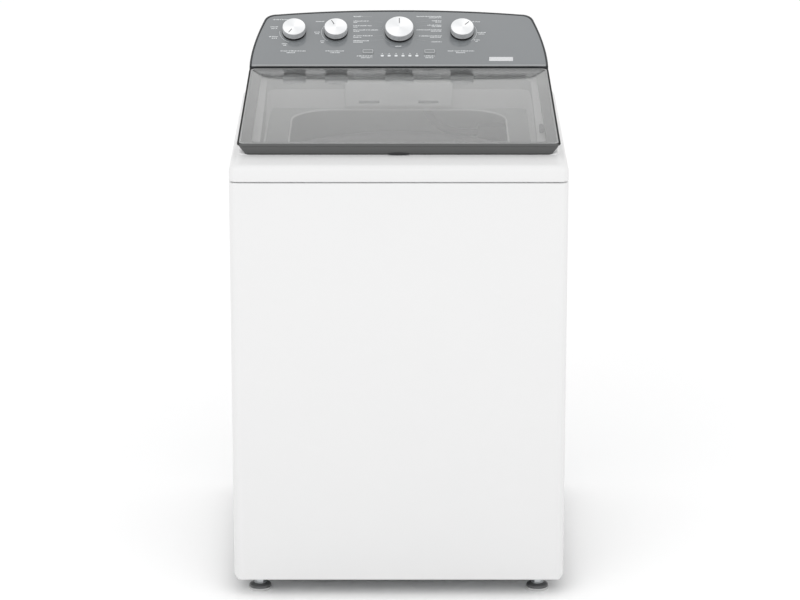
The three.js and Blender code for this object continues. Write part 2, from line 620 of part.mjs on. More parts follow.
function outerTub() {
  const { y, radius, wall, bottom, top } = TUB;
  const drum = turnedRing([
    [34, bottom], [radius, bottom], [radius, top - 8], [radius + 7, top - 8], [radius + 7, top],
    [radius - wall, top], [radius - wall, bottom + 6], [34, bottom + 6],
  ], 48, 0, y);
  const lugs = [45, 135, 225, 315].map((angle) =>
    box([radius - 2, LUG.end], [-LUG.width / 2, LUG.width / 2], [LUG.bottom, LUG.top])
      .rotateZ(rad(angle)).translate(0, y, 0));
  const holes = rodPlaces().map(([px, py]) => post(5, [LUG.bottom - 2, LUG.top + 2], px, py, 12));
  return cut(join(drum, ...lugs), ...holes);
}

const tubRing = () => turnedRing([
  [238, TUB.top + 0.5], [TUB.radius + 7, TUB.top + 0.5], [TUB.radius + 7, TUB.top + 6],
  [TUB.radius - 2, TUB.top + 18], [246, TUB.top + 20], [238, TUB.top + 15],
], 40, 0, TUB.y);

const gearcase = () => turnedRing([
  [SPIN_TUBE_RADIUS + 0.6, 150], [60, 150], [78, 162], [78, 214], [105, 224], [105, TUB.bottom - 0.4],
  [SPIN_TUBE_RADIUS + 0.6, TUB.bottom - 0.4],
], 24, 0, TUB.y);

const motor = () => turned([
  [0, MOTOR.bottom], [40, MOTOR.bottom], [MOTOR.radius, MOTOR.bottom + 14], [MOTOR.radius, MOTOR.top - 16],
  [44, MOTOR.top], [0, MOTOR.top],
], 24, MOTOR.x, MOTOR.y);

function drainPump() {
  const { x, y, radius, bottom, top } = PUMP;
  const body = turned([[0, bottom], [radius, bottom], [radius, top - 15], [24, top], [0, top]], 24, x, y);
  const neck = post(15, [top - 4, TUB.bottom - 0.4], x, y);
  const spout = barY(13, x, [y + 10, y + radius + 12], 178);
  return join(body, neck, spout);
}

// The belt runs straight between the two pulleys and round each of them.
function driveBelt() {
  const [dx, dy] = [MOTOR.x, MOTOR.y - TUB.y];
  const distance = Math.hypot(dx, dy);
  const turn = Math.atan2(dy, dx);
  const wrapAngle = Math.acos((PULLEY.big - PULLEY.small) / distance);
  const track = (grow, path) => {
    path.absarc(0, 0, PULLEY.big + grow, wrapAngle, 2 * Math.PI - wrapAngle, false);
    path.absarc(distance, 0, PULLEY.small + grow, -wrapAngle, wrapAngle, false);
    path.closePath();
    return path;
  };
  const shape = track(4.4, new THREE.Shape());
  shape.holes.push(track(0.4, new THREE.Path()));
  return new THREE.ExtrudeGeometry(shape, { depth: 10, bevelEnabled: false, curveSegments: 16 })
    .translate(0, 0, PULLEY.bottom + 2).rotateZ(turn).translate(0, TUB.y, 0);
}

const pulley = (radius, bore, x, y) => turnedRing([
  [bore, PULLEY.bottom], [radius, PULLEY.bottom], [radius, PULLEY.top], [bore, PULLEY.top],
], 32, x, y);

add(machine, "outer_tub", outerTub(), WHITE_PLASTIC());
add(machine, "tub_ring", tubRing(), WHITE_PLASTIC());
add(machine, "gearcase", gearcase(), material(0x8f9396, 0.5, 0.9));
add(machine, "motor", motor(), material(0x55585a, 0.5, 0.8));
add(machine, "drain_pump", drainPump(), BLACK_PLASTIC());
add(machine, "drain_hose", hose(drainRoute, 12, 24), RUBBER());
add(machine, "drive_belt", driveBelt(), RUBBER());
add(machine, "motor_pulley", turned([[0, PULLEY.bottom], [PULLEY.small, PULLEY.bottom],
  [PULLEY.small, PULLEY.top], [9, PULLEY.top], [9, MOTOR.bottom - 0.4], [0, MOTOR.bottom - 0.4]],
24, MOTOR.x, MOTOR.y), STEEL());

// ---------------------------------------------------------------- basket and wash plate

function washBasket() {
  const { radius, wall, bottom, top } = BASKET;
  return turnedRing([
    [SHAFT_RADIUS + 2, bottom], [radius - 10, bottom], [radius, bottom + 10], [radius, top],
    [radius - wall, top], [radius - wall, bottom + 11], [radius - 11, bottom + 1.6],
    [SHAFT_RADIUS + 2, bottom + 1.6],
  ], 40, 0, TUB.y);
}

const balanceRing = () => turnedRing([
  [BALANCE.inner + 4, BALANCE.bottom], [BALANCE.outer, BALANCE.bottom], [BALANCE.outer, BALANCE.top - 4],
  [BALANCE.outer - 4, BALANCE.top], [BALANCE.inner + 5, BALANCE.top], [BALANCE.inner, BALANCE.top - 8],
  [BALANCE.inner, BALANCE.bottom + 6],
], 40, 0, TUB.y);

const spinTube = () => turnedRing([
  [SHAFT_RADIUS + 0.6, 145], [SPIN_TUBE_RADIUS, 145], [SPIN_TUBE_RADIUS, 246], [70, 250],
  [70, BASKET.bottom - 0.4],
  [SHAFT_RADIUS + 0.6, BASKET.bottom - 0.4],
], 24, 0, TUB.y);

// A low disc with six vanes round a domed hub.
function washPlate() {
  const bore = SHAFT_RADIUS + 0.4;
  const disc = turned([
    [0, 298.4], [bore, 298.4], [bore, 266], [PLATE_RADIUS - 6, 266], [PLATE_RADIUS, 270],
    [PLATE_RADIUS - 4, 274], [78, 280], [50, 306], [26, 318], [0, 321],
  ], 36);
  const vane = (angle) => alongX([[-9, 268], [9, 268], [3, 296], [-3, 296]], 55)
    .translate(112, 0, 0).rotateZ(rad(angle));
  const vanes = [0, 60, 120, 180, 240, 300].map(vane);
  return join(disc, ...vanes).translate(0, TUB.y, 0);
}

add(machine, "wash_basket", washBasket(), STEEL());
add(machine, "balance_ring", balanceRing(), WHITE_PLASTIC());
add(machine, "spin_tube", spinTube(), STEEL());
add(machine, "wash_plate", washPlate(), WHITE_PLASTIC());
add(machine, "agitator_shaft", post(SHAFT_RADIUS, [100, 298], 0, TUB.y), STEEL());
add(machine, "drive_pulley", pulley(PULLEY.big, SHAFT_RADIUS + 0.4, 0, TUB.y), STEEL());

export default machine;
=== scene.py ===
import json
import math

import bmesh
import bpy
from mathutils import Matrix, Vector


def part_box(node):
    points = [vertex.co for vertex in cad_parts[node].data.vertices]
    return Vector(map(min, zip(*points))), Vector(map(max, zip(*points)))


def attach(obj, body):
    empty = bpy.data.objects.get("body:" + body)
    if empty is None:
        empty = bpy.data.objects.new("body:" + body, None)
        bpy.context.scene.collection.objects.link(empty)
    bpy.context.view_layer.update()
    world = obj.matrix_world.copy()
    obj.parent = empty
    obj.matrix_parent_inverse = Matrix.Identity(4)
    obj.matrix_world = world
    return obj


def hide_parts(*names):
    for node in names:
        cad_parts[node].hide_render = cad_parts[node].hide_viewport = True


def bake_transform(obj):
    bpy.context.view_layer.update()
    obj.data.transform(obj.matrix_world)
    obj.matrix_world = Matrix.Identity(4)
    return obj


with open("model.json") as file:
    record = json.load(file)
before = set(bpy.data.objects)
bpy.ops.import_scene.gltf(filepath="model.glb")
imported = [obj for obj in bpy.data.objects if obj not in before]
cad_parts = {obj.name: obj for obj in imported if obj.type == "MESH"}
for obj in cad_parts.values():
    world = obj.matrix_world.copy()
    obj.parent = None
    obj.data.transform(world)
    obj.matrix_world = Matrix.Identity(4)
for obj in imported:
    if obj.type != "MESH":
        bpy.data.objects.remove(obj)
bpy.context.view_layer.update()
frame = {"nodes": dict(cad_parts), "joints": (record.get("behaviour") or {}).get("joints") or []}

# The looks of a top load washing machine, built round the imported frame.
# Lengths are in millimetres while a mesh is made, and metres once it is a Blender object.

MM = 0.001
JOINTS = {joint["name"]: joint for joint in frame["joints"]}
CORNERS = ("front_left", "front_right", "rear_left", "rear_right")


def edges_of(node):
    """Lowest and highest corner of a CAD node, in millimetres."""
    low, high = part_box(node)
    return low / MM, high / MM


def centre_of(node):
    low, high = edges_of(node)
    return (low + high) / 2


def joint_place(name):
    return Vector(JOINTS[name]["pos_m"]) / MM


# ---------------------------------------------------------------- driving dimensions

CABINET_LOW, CABINET_HIGH = edges_of("cabinet_shell")
HALF_WIDTH = CABINET_HIGH.x
FRONT = CABINET_LOW.y
CABINET_REAR = CABINET_HIGH.y
CABINET_BOTTOM = CABINET_LOW.z
CABINET_TOP = CABINET_HIGH.z
CORNER_RADIUS = 16
REAR_CORNER_RADIUS = 8
REAR_FLANGE = 25
CHAMFER = 9
SHEET = 0.8

TOP_REAR = edges_of("top_panel")[1].y
CONSOLE_REAR = edges_of("console_housing")[1].y - 0.8
SEAM_TOP = CABINET_TOP + 2.2
SHOULDER = 920.5
DECK = 912
COLLAR = {"half": 324, "front": -282, "rear": 206, "front_top": 929.5, "rear_top": 980, "radius": 12}
WELL = {"half": 284, "front": -262, "rear": 198, "radius": 24}
MOUTH = {"half": 228, "front": -230, "rear": 189, "radius": 93}

LID_SLOPE = math.radians(5.84)
LID_LENGTH = 491
LID_HALF = (328.5, 322.5)
LID_DEPTH = (21, 13)
HINGE_V, HINGE_W = 486.5, -9.5
HINGE_NOTCH = {"side": 287, "front": LID_LENGTH - 19.5, "stations": (287.3, 286.7, -286.7, -287.3)}
GLASS_RIM = 4

CONSOLE_SLOPE = math.radians(34)
CONSOLE_HALF = 322.5
CONSOLE_CREST = 168.8
CONSOLE_MIDDLE = 86
CONSOLE_FOOT = 923.3
CROWN = {"start": 137, "half": 265}
FASCIA_BORDER = 4
FASCIA_SURFACE = -0.6
PRINT_LOW, PRINT_HIGH = FASCIA_SURFACE - 0.05, FASCIA_SURFACE + 0.06
KNOB_V, KNOB_HEIGHT = 102, 18
BUTTON_V, LENS_V = 43, 33
KNOBS = {
    "temperature_knob": {"radius": 25.3, "clock": 7.1},
    "water_level_knob": {"radius": 25.3, "clock": 11.1},
    "cycle_knob": {"radius": 31, "clock": 12},
    "rinse_knob": {"radius": 25.3, "clock": 1.5},
}
BUTTONS = ("option_button", "start_button")

TUB_Y = -20
TUB = {"radius": 272, "wall": 4, "bottom": 236, "top": 830}
BASKET = {"radius": 256, "bottom": 258, "top": 789}
SPRING = {"radius": 11, "wire": 1.9, "low": 202.5, "high": 251.5, "turns": 8}
PULLEY = {"big": 85, "small": 22, "low": 108, "high": 122}
PUMP_X, PUMP_Y, SPOUT_Z = -150, 70, 178
HOSE_X, HOSE_Z = 60, 945
FOOT_RADIUS = 24


# ---------------------------------------------------------------- camera and studio

CAMERA = {"place": (0.0025, -7.0996, 2.628), "pitch": math.radians(16.41), "lens": 155.7, "sensor": 36}


def in_scene(name, data):
    made = bpy.data.objects.new(name, data)
    bpy.context.scene.collection.objects.link(made)
    return made


def make_camera():
    camera = in_scene("camera", bpy.data.cameras.new("camera"))
    camera.data.lens = CAMERA["lens"]
    camera.data.sensor_width = CAMERA["sensor"]
    camera.data.clip_end = 200
    camera.location = CAMERA["place"]
    camera.rotation_euler = (math.pi / 2 - CAMERA["pitch"], 0, 0)
    bpy.context.scene.camera = camera


def area_light(name, place, aim, size, watts):
    light = in_scene(name, bpy.data.lights.new(name, "AREA"))
    light.data.size = size
    light.data.energy = watts
    light.location = place
    light.rotation_euler = (Vector(aim) - Vector(place)).to_track_quat("-Z", "Y").to_euler()


def make_studio():
    world = bpy.data.worlds.new("studio")
    world.use_nodes = True
    background = world.node_tree.nodes["Background"]
    background.inputs["Color"].default_value = (1, 1, 1, 1)
    background.inputs["Strength"].default_value = 1.04
    bpy.context.scene.world = world
    bpy.context.scene.view_settings.view_transform = "Standard"
    area_light("key", (-3.2, -5.4, 4.4), (0, 0, 0.6), 4, 60)
    area_light("fill", (3.8, -5.2, 3.2), (0, 0, 0.4), 4, 36)

    size = 40
    floor = mesh_object("floor", [(-size, -size, 0), (size, -size, 0), (size, size, 0), (-size, size, 0)],
                        [(0, 1, 2, 3)])
    floor.data.materials.append(look("floor"))


# ---------------------------------------------------------------- materials

def feed(made, node, **values):
    """Sets a node's inputs, and links those whose value is another node's output."""
    for name, value in values.items():
        socket = node.inputs[name.replace("_", " ")]
        if isinstance(value, bpy.types.NodeSocket):
            made.node_tree.links.new(value, socket)
        else:
            socket.default_value = value


def add(made, kind, **values):
    node = made.node_tree.nodes.new("ShaderNode" + kind)
    feed(made, node, **values)
    return node


def principled(name, **sockets):
    made = bpy.data.materials.new(name)
    made.use_nodes = True
    shader = made.node_tree.nodes["Principled BSDF"]
    feed(made, shader, **sockets)
    return made, shader


def surface(name, color, roughness, other=None, scale=30.0, bump=0.0, grain=900.0, stretch=(1, 1, 1),
            spread=0.04, shade=None, **sockets):
    """A Principled material whose colour and roughness drift with a soft noise, over a fine grain."""
    made, shader = principled(name, **sockets)
    place = add(made, "TexCoord").outputs["Object"]
    mapping = add(made, "Mapping", Scale=stretch, Vector=place)
    noise = add(made, "TexNoise", Scale=scale, Detail=3, Vector=mapping.outputs["Vector"])
    mix = add(made, "Mix")
    mix.data_type = "RGBA"
    other = other or tuple(c * 0.94 for c in color)
    feed(made, mix, A=(*color, 1), B=(*other, 1), Factor=noise.outputs["Fac"])
    drift = add(made, "MapRange", To_Min=max(roughness - spread, 0.02), To_Max=roughness + spread,
                Value=noise.outputs["Fac"])
    feed(made, shader, Base_Color=mix.outputs["Result"], Roughness=drift.outputs["Result"])
    if bump:
        fine = add(made, "TexNoise", Scale=grain, Detail=2, Vector=mapping.outputs["Vector"])
        relief = add(made, "Bump", Strength=bump, Distance=0.0004, Height=fine.outputs["Fac"])
        feed(made, shader, Normal=relief.outputs["Normal"])
    # shade paints light or shade into the base colour, as a grey ramp along one axis.
    if shade:
        feed(made, shader, Base_Color=shade_along(made, place, *shade))
    return made


def shade_along(made, place, axis, start, end, near, far):
    """Paints light and shade into a colour: a grey that runs from near to far between two distances along an
    axis of the piece.
    """
    split = add(made, "SeparateXYZ", Vector=place)
    along = add(made, "MapRange", From_Min=start * MM, From_Max=end * MM, Value=split.outputs[axis])
    tint = add(made, "ValToRGB", Fac=along.outputs["Result"])
    for element, grey in zip(tint.color_ramp.elements, (near, far)):
        element.color = (grey, grey * 1.015, grey * 1.01, 1)
    return tint.outputs["Color"]


def knob_face():
    """Spun silver with fine circular lines; a painted sheen lightens and darkens its colour in two lobes
    round the knob.
    """
    made, shader = principled("knob_face", Metallic=0.3, Roughness=0.36)
    links = made.node_tree.links
    place = add(made, "TexCoord").outputs["Object"]
    split = add(made, "SeparateXYZ", Vector=place)
    # Painted sheen: a grey ramp that rises and falls twice round the knob.
    angle, lobes, wave = (add(made, "Math") for _ in range(3))
    angle.operation, lobes.operation, wave.operation = "ARCTAN2", "MULTIPLY", "SINE"
    lobes.inputs[1].default_value = 2
    links.new(split.outputs["Y"], angle.inputs[0])
    links.new(split.outputs["X"], angle.inputs[1])
    links.new(angle.outputs["Value"], lobes.inputs[0])
    links.new(lobes.outputs["Value"], wave.inputs[0])
    spread = add(made, "MapRange", From_Min=-1, Value=wave.outputs["Value"])
    ramp = add(made, "ValToRGB", Fac=spread.outputs["Result"])
    ramp.color_ramp.elements[0].color = (0.78, 0.79, 0.8, 1)
    ramp.color_ramp.elements[1].color = (0.93, 0.935, 0.94, 1)

    rings = add(made, "TexWave", Scale=500, Vector=place)
    rings.wave_type = "RINGS"
    rings.rings_direction = "Z"
    relief = add(made, "Bump", Strength=0.15, Distance=0.0001, Height=rings.outputs["Fac"])
    feed(made, shader, Base_Color=ramp.outputs["Color"], Normal=relief.outputs["Normal"])
    return made


# Colour and roughness of each look, then what sets it apart. The smoked glass is dark and mirror-like, and
# each of its two faces lets most of the light through; its colour is painted light and shade, lighter
# towards the hinge and darker towards the front edge. The lid's trim has a painted highlight where it turns
# down over the front, and its frame has painted shade along the hem. The deck's colour is painted shade,
# greying from the rear of the loading well towards the front.
LOOKS = {
    "floor": ((0.97, 0.97, 0.97), 0.9, {"other": (0.96, 0.96, 0.96), "scale": 3}),
    "white_enamel": ((0.735, 0.735, 0.735), 0.38,
                     {"other": (0.725, 0.725, 0.726), "scale": 4, "bump": 0.03, "grain": 350}),
    # Painted shade: the deck's grey darkens from the rear of the loading well towards the front.
    "deck_painted_shade": ((0.4, 0.4, 0.4), 0.5,
                     {"scale": 12, "bump": 0.1, "shade": ("Y", -260, 205, 0.17, 0.46)}),
    "ring_plastic": ((0.2, 0.205, 0.21), 0.45, {"bump": 0.1}),
    "glass_seal": ((0.33, 0.335, 0.335), 0.5, {"bump": 0.1}),
    "tub_plastic": ((0.62, 0.63, 0.63), 0.5, {"bump": 0.2, "grain": 700}),
    "plate_plastic": ((0.66, 0.68, 0.7), 0.36, {"bump": 0.1}),
    "white_plastic": ((0.78, 0.79, 0.79), 0.42, {"bump": 0.15}),
    "black_plastic": ((0.02, 0.02, 0.022), 0.45, {"bump": 0.3, "grain": 1200}),
    "dark_plastic": ((0.035, 0.038, 0.04), 0.34, {"bump": 0.1, "grain": 1400}),
    # Painted shade: the frame's colour darkens below 20 mm down the lid, along the front hem.
    "lid_frame": ((0.075, 0.076, 0.076), 0.4,
                  {"bump": 0.06, "grain": 1400, "shade": ("Z", -22, -20, 0.042, 0.076)}),
    # Painted highlight: the trim's colour is lighter over its front 2 to 7 mm, where it turns down.
    "lid_edge": ((0.01, 0.01, 0.01), 0.6,
                 {"bump": 0.1, "grain": 1400, "IOR": 1.25, "shade": ("Y", 2, 7, 0.11, 0.007)}),
    # Painted light and shade: the glass's colour is lighter towards the hinge and darker towards the front
    # edge.
    "smoked_glass": ((0.4, 0.4, 0.4), 0.03,
                     {"scale": 3, "spread": 0.01, "Metallic": 0.5, "IOR": 2.2, "Alpha": 0.37,
                      "Coat_Weight": 1.0, "shade": ("Y", 0, LID_LENGTH, 0.295, 0.51)}),
    "grey_fascia": ((0.165, 0.177, 0.185), 0.07,
                    {"other": (0.178, 0.19, 0.198), "scale": 6, "spread": 0.02, "IOR": 2.0}),
    "fascia_trim": ((0.33, 0.34, 0.345), 0.25, {"scale": 50, "bump": 0.05}),
    "button_cap": ((0.2, 0.21, 0.216), 0.16, {"bump": 0.05, "grain": 1500, "IOR": 1.8}),
    "print": ((0.72, 0.74, 0.75), 0.5, {"scale": 200}),
    "print_faint": ((0.33, 0.34, 0.345), 0.4, {"scale": 200}),
    "print_dark": ((0.05, 0.053, 0.056), 0.5, {"scale": 200}),
    "galvanised": ((0.5, 0.52, 0.53), 0.4,
                   {"other": (0.62, 0.64, 0.65), "scale": 55, "Metallic": 0.9, "bump": 0.1, "grain": 500}),
    "steel": ((0.56, 0.57, 0.58), 0.3,
              {"scale": 60, "Metallic": 1.0, "bump": 0.1, "stretch": (1, 1, 0.1)}),
    "basket_steel": ((0.66, 0.67, 0.68), 0.24,
                     {"Metallic": 1.0, "bump": 0.12, "grain": 700, "stretch": (1, 1, 0.05)}),
    "aluminium": ((0.66, 0.67, 0.68), 0.42, {"Metallic": 1.0, "bump": 0.3, "grain": 800}),
    "motor_paint": ((0.05, 0.052, 0.055), 0.45, {"bump": 0.3}),
    "rubber": ((0.02, 0.02, 0.021), 0.7, {"bump": 0.4, "grain": 1100}),
    "foot_plastic": ((0.09, 0.092, 0.094), 0.4, {"bump": 0.2}),
    "foot_rim": ((0.5, 0.5, 0.5), 0.35, {"bump": 0.1}),
    "zinc": ((0.5, 0.52, 0.53), 0.32,
             {"other": (0.58, 0.59, 0.6), "scale": 90, "Metallic": 1.0, "bump": 0.15, "grain": 1200}),
    "board_green": ((0.02, 0.1, 0.05), 0.4, {"bump": 0.2}),
    "knob_side": ((0.56, 0.57, 0.58), 0.34,
                  {"scale": 50, "Metallic": 0.4, "bump": 0.08, "grain": 1500, "stretch": (0.2, 0.2, 1)}),
    "hose": ((0.32, 0.33, 0.34), 0.5, {"bump": 0.2}),
    "port_plastic": ((0.1, 0.2, 0.45), 0.4, {"bump": 0.15}),
    "badge": ((0.72, 0.73, 0.74), 0.25,
              {"scale": 40, "Metallic": 0.9, "bump": 0.1, "stretch": (0.1, 1, 1)}),
}
MADE = {}


def look(name):
    """The material of that name, made when it is first asked for."""
    if name not in MADE:
        if name == "knob_face":
            MADE[name] = knob_face()
        else:
            color, roughness, options = LOOKS[name]
            MADE[name] = surface(name, color, roughness, **options)
    return MADE[name]


# ---------------------------------------------------------------- mesh helpers

def mesh_object(name, verts, faces):
    mesh = bpy.data.meshes.new(name)
    mesh.from_pydata([tuple(v) for v in verts], [], faces)
    return in_scene(name, mesh)


def piece(name, shape, body, slot, paint=None, replaces=(), place=None, angle=35, bevel=0.0, segments=2,
          sheet=0.0):
    """A finished piece of the object: scaled to metres, placed, smoothed, painted and riding on its body.
    The paint is the look named like the slot unless one is given. Edges sharper than angle stay creased.
    place keeps its own local axes, bevel rounds its sharp edges, and sheet gives a thickness to an open
    surface. A piece without a body rides on none, and its caller bakes its place into its mesh."""
    verts, faces = shape
    made = mesh_object(name, [Vector(v) * MM for v in verts], faces)
    if place is not None:
        made.matrix_world = Matrix.Translation(place.translation * MM) @ place.to_3x3().to_4x4()
    tidy(made.data, math.radians(angle))
    made.data.materials.append(look(paint or slot))
    if bevel:
        rounding = made.modifiers.new("rounding", "BEVEL")
        rounding.width = bevel * MM
        rounding.segments = segments
        rounding.limit_method = "ANGLE"
        rounding.angle_limit = math.radians(angle)
        rounding.harden_normals = True
    if body:
        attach(made, body)
    if replaces:
        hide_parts(*replaces)
    if sheet:
        thick = made.modifiers.new("sheet", "SOLIDIFY")
        thick.thickness = sheet * MM
        thick.offset = -1
    return made


def tidy(mesh, angle):
    """Merges doubles, turns every face outwards and creases the edges sharper than angle."""
    work = bmesh.new()
    work.from_mesh(mesh)
    bmesh.ops.remove_doubles(work, verts=work.verts, dist=1e-6)
    bmesh.ops.recalc_face_normals(work, faces=work.faces)
    for face in work.faces:
        face.smooth = True
    for edge in work.edges:
        edge.smooth = len(edge.link_faces) == 2 and edge.calc_face_angle(0) < angle
    work.to_mesh(mesh)
    work.free()


def clamp(value):
    return min(max(value, 0), 1)


def eased(t):
    """A share from 0 to 1 that starts and ends gently."""
    return t * t * (3 - 2 * t)


def joined(*shapes):
    verts, faces = [], []
    for shape_verts, shape_faces in shapes:
        offset = len(verts)
        verts.extend(shape_verts)
        faces.extend([tuple(i + offset for i in face) for face in shape_faces])
    return verts, faces


def moved(shape, matrix):
    verts, faces = shape
    return [matrix @ Vector(v) for v in verts], faces


def shifted(shape, x, y, z):
    return moved(shape, Matrix.Translation((x, y, z)))


def turned(degrees, x=0.0, y=0.0):
    """A turn about the upright axis, then a move to x and y."""
    return Matrix.Translation((x, y, 0)) @ Matrix.Rotation(math.radians(degrees), 4, "Z")


def around(shape, count, x=0.0, y=TUB_Y, start=0.0):
    """Copies of a shape, evenly turned about the upright axis at x and y."""
    return joined(*[moved(shape, turned(start + 360 / count * i, x, y)) for i in range(count)])


def ring_of(loops, closed=True):
    """Joins equal loops one to the next; closed joins the last to the first."""
    count = len(loops[0])
    verts = [Vector(v) for points in loops for v in points]
    faces = []
    for i in range(len(loops) if closed else len(loops) - 1):
        j = (i + 1) % len(loops)
        for k in range(count):
            m = (k + 1) % count
            faces.append((i * count + k, i * count + m, j * count + m, j * count + k))
    return verts, faces


def capped(loops):
    """Joins loops one to the next and closes both ends."""
    verts, faces = ring_of(loops, closed=False)
    count = len(loops[0])
    last = (len(loops) - 1) * count
    faces.append(tuple(reversed(range(count))))
    faces.append(tuple(range(last, last + count)))
    return verts, faces


def levels(*outlines):
    """Loops at rising or falling heights, each given as a flat outline and its height."""
    return [[(x, y, z) for x, y in outline] for outline, z in outlines]


def circle(radius, z, steps, x=0.0, y=0.0):
    turns = [2 * math.pi * i / steps for i in range(steps)]
    return [(x + radius * math.cos(a), y + radius * math.sin(a), z) for a in turns]


def lathe(profile, steps=48, x=0.0, y=0.0):
    """Turns (radius, height) points about the vertical axis; the ends are closed with flat caps."""
    return capped([circle(max(r, 0.01), z, steps, x, y) for r, z in profile])


def lathe_ring(profile, steps=64, x=0.0, y=0.0):
    return ring_of([circle(r, z, steps, x, y) for r, z in profile])


def block(low, high):
    (x0, y0, z0), (x1, y1, z1) = low, high
    return plate([(x0, y0), (x1, y0), (x1, y1), (x0, y1)], z0, z1)


def plate(outline, z0, z1):
    return capped(levels((outline, z0), (outline, z1)))


def hoop(outer, inner, z0, z1):
    """A rim between an outer and an inner outline that have as many points."""
    return ring_of(levels((outer, z0), (outer, z1), (inner, z1), (inner, z0)))


def along_y(shape, x, y, z):
    """Lays a turned shape down, so that its height runs along +Y, and moves its foot to x, y and z."""
    return shifted(moved(shape, Matrix.Rotation(-math.pi / 2, 4, "X")), x, y, z)


def along_x(shape, x, y, z):
    return shifted(moved(shape, Matrix.Rotation(math.pi / 2, 4, "Y")), x, y, z)


def rounded(width, height, radius, steps=5, x=0.0, y=0.0):
    """The outline of a rounded rectangle."""
    points = []
    for cx, cy, start in ((1, -1, -90), (1, 1, 0), (-1, 1, 90), (-1, -1, 180)):
        for i in range(steps + 1):
            angle = math.radians(start + 90 * i / steps)
            points.append((x + cx * (width / 2 - radius) + radius * math.cos(angle),
                           y + cy * (height / 2 - radius) + radius * math.sin(angle)))
    return points


def stacked(*groups):
    """The loops of a section in order, from groups of one loop function and the values of each loop."""
    return [shape(*values) for shape, *rows in groups for values in rows]


def cushion(width, height, radius, steps, *insets):
    """A rounded rectangle built up from (inset, height) levels."""
    return capped(levels(*((rounded(width - d, height - d, radius, steps), z) for d, z in insets)))


def frame_loop(half, front, rear, radius, height, rear_half=None, steps=14, across=(), behind=()):
    """A rounded four-sided loop from the right front corner round; across and behind add points along the
    front and the rear edge."""
    rear_half = half if rear_half is None else rear_half
    points = []
    corners = ((half - radius, front + radius, -90), (rear_half - radius, rear - radius, 0),
               (-rear_half + radius, rear - radius, 90), (-half + radius, front + radius, 180))
    for cx, cy, start in corners:
        for i in range(steps + 1):
            angle = math.radians(start + 90 * i / steps)
            points.append((cx + radius * math.cos(angle), cy + radius * math.sin(angle)))
        if start == 0:
            reach = rear_half - radius
            points += [(max(min(x, reach), -reach), rear) for x in behind]
    points += [(x, front) for x in across]
    return [(x, y, height(x, y) if callable(height) else height) for x, y in points]


def sweep(points, radius, sides=16, rings=None):
    """A round tube along points, with closed ends; rings gives the radius at each point instead."""
    points = [Vector(p) for p in points]
    loops = []
    side = Vector((1, 0, 0))
    for i, p in enumerate(points):
        ahead = (points[min(i + 1, len(points) - 1)] - points[max(i - 1, 0)]).normalized()
        side = (side - ahead * side.dot(ahead)).normalized()
        up = ahead.cross(side)
        r = rings[i] if rings else radius
        turns = [2 * math.pi * k / sides for k in range(sides)]
        loops.append([p + (side * math.cos(a) + up * math.sin(a)) * r for a in turns])
    return capped(loops)


def smooth_path(points, steps):
    """A Catmull-Rom curve through the points, with steps points between each two."""
    points = [Vector(p) for p in points]
    padded = [2 * points[0] - points[1], *points, 2 * points[-1] - points[-2]]
    path = []
    for a, b, c, d in zip(padded, padded[1:], padded[2:], padded[3:]):
        for i in range(steps):
            t = i / steps
            path.append(0.5 * (2 * b + (c - a) * t + (2 * a - 5 * b + 4 * c - d) * t * t
                               + (3 * b - a - 3 * c + d) * t ** 3))
    return path + [points[-1]]


def hexagon(radius, z0, z1, x=0.0, y=0.0):
    chamfer = radius * 0.08
    flat = radius - chamfer
    return lathe([(flat, z0), (radius, z0 + chamfer), (radius, z1 - chamfer), (flat, z1)], 6, x, y)


def thread(radius, z0, z1, pitch, depth, x=0.0, y=0.0, steps=28):
    """A screw thread: a helical ridge wound on a core, closed at both ends."""
    turns = (z1 - z0 - pitch) / pitch
    loops = []
    section = ((-depth * 0.6, 0), (-depth * 0.6, pitch * 0.96), (0, pitch * 0.6), (0, pitch * 0.36))
    for i in range(int(turns * steps) + 1):
        angle = 2 * math.pi * i / steps
        z = z0 + pitch * i / steps
        loops.append([(x + (radius + r) * math.cos(angle), y + (radius + r) * math.sin(angle), z + h)
                      for r, h in section])
    core = lathe([(radius - depth * 0.4, z0), (radius - depth * 0.4, z1)], 32, x, y)
    return joined(core, capped(loops))


def helix(radius, wire, z0, z1, turns, x, y, steps=24, sides=8):
    """A compression spring with closed end coils."""
    count = int(turns * steps)
    points = []
    for i in range(count + 1):
        t = i / count
        angle = 2 * math.pi * turns * t
        z = z0 + wire + (z1 - z0 - 2 * wire) * clamp((t * turns - 1) / (turns - 2))
        points.append((x + radius * math.cos(angle), y + radius * math.sin(angle), z))
    return sweep(points, wire, sides)


# ---------------------------------------------------------------- placing planes

def tilted(place, up, slope):
    """Axes in the middle of the machine, tilted back by a slope so that their point up lies at place."""
    origin = place - Matrix.Rotation(slope, 4, "X") @ up
    return Matrix.Translation((0, origin.y, origin.z)) @ Matrix.Rotation(slope, 4, "X")


# Both have x across, y up the slope and z out of the face. The lid's start from its front edge, and the
# console's from the lid's hinge line.
LID = tilted(joint_place("lid_hinge"), Vector((0, HINGE_V, HINGE_W)), LID_SLOPE)
CONSOLE = tilted(joint_place("cycle_knob_turn"), Vector((0, KNOB_V, 0)), CONSOLE_SLOPE)


def on_console(u, v, w=0.0):
    return CONSOLE @ Matrix.Translation((u, v, w))


def knob_u(name):
    return joint_place(name + "_turn").x


# ---------------------------------------------------------------- cabinet

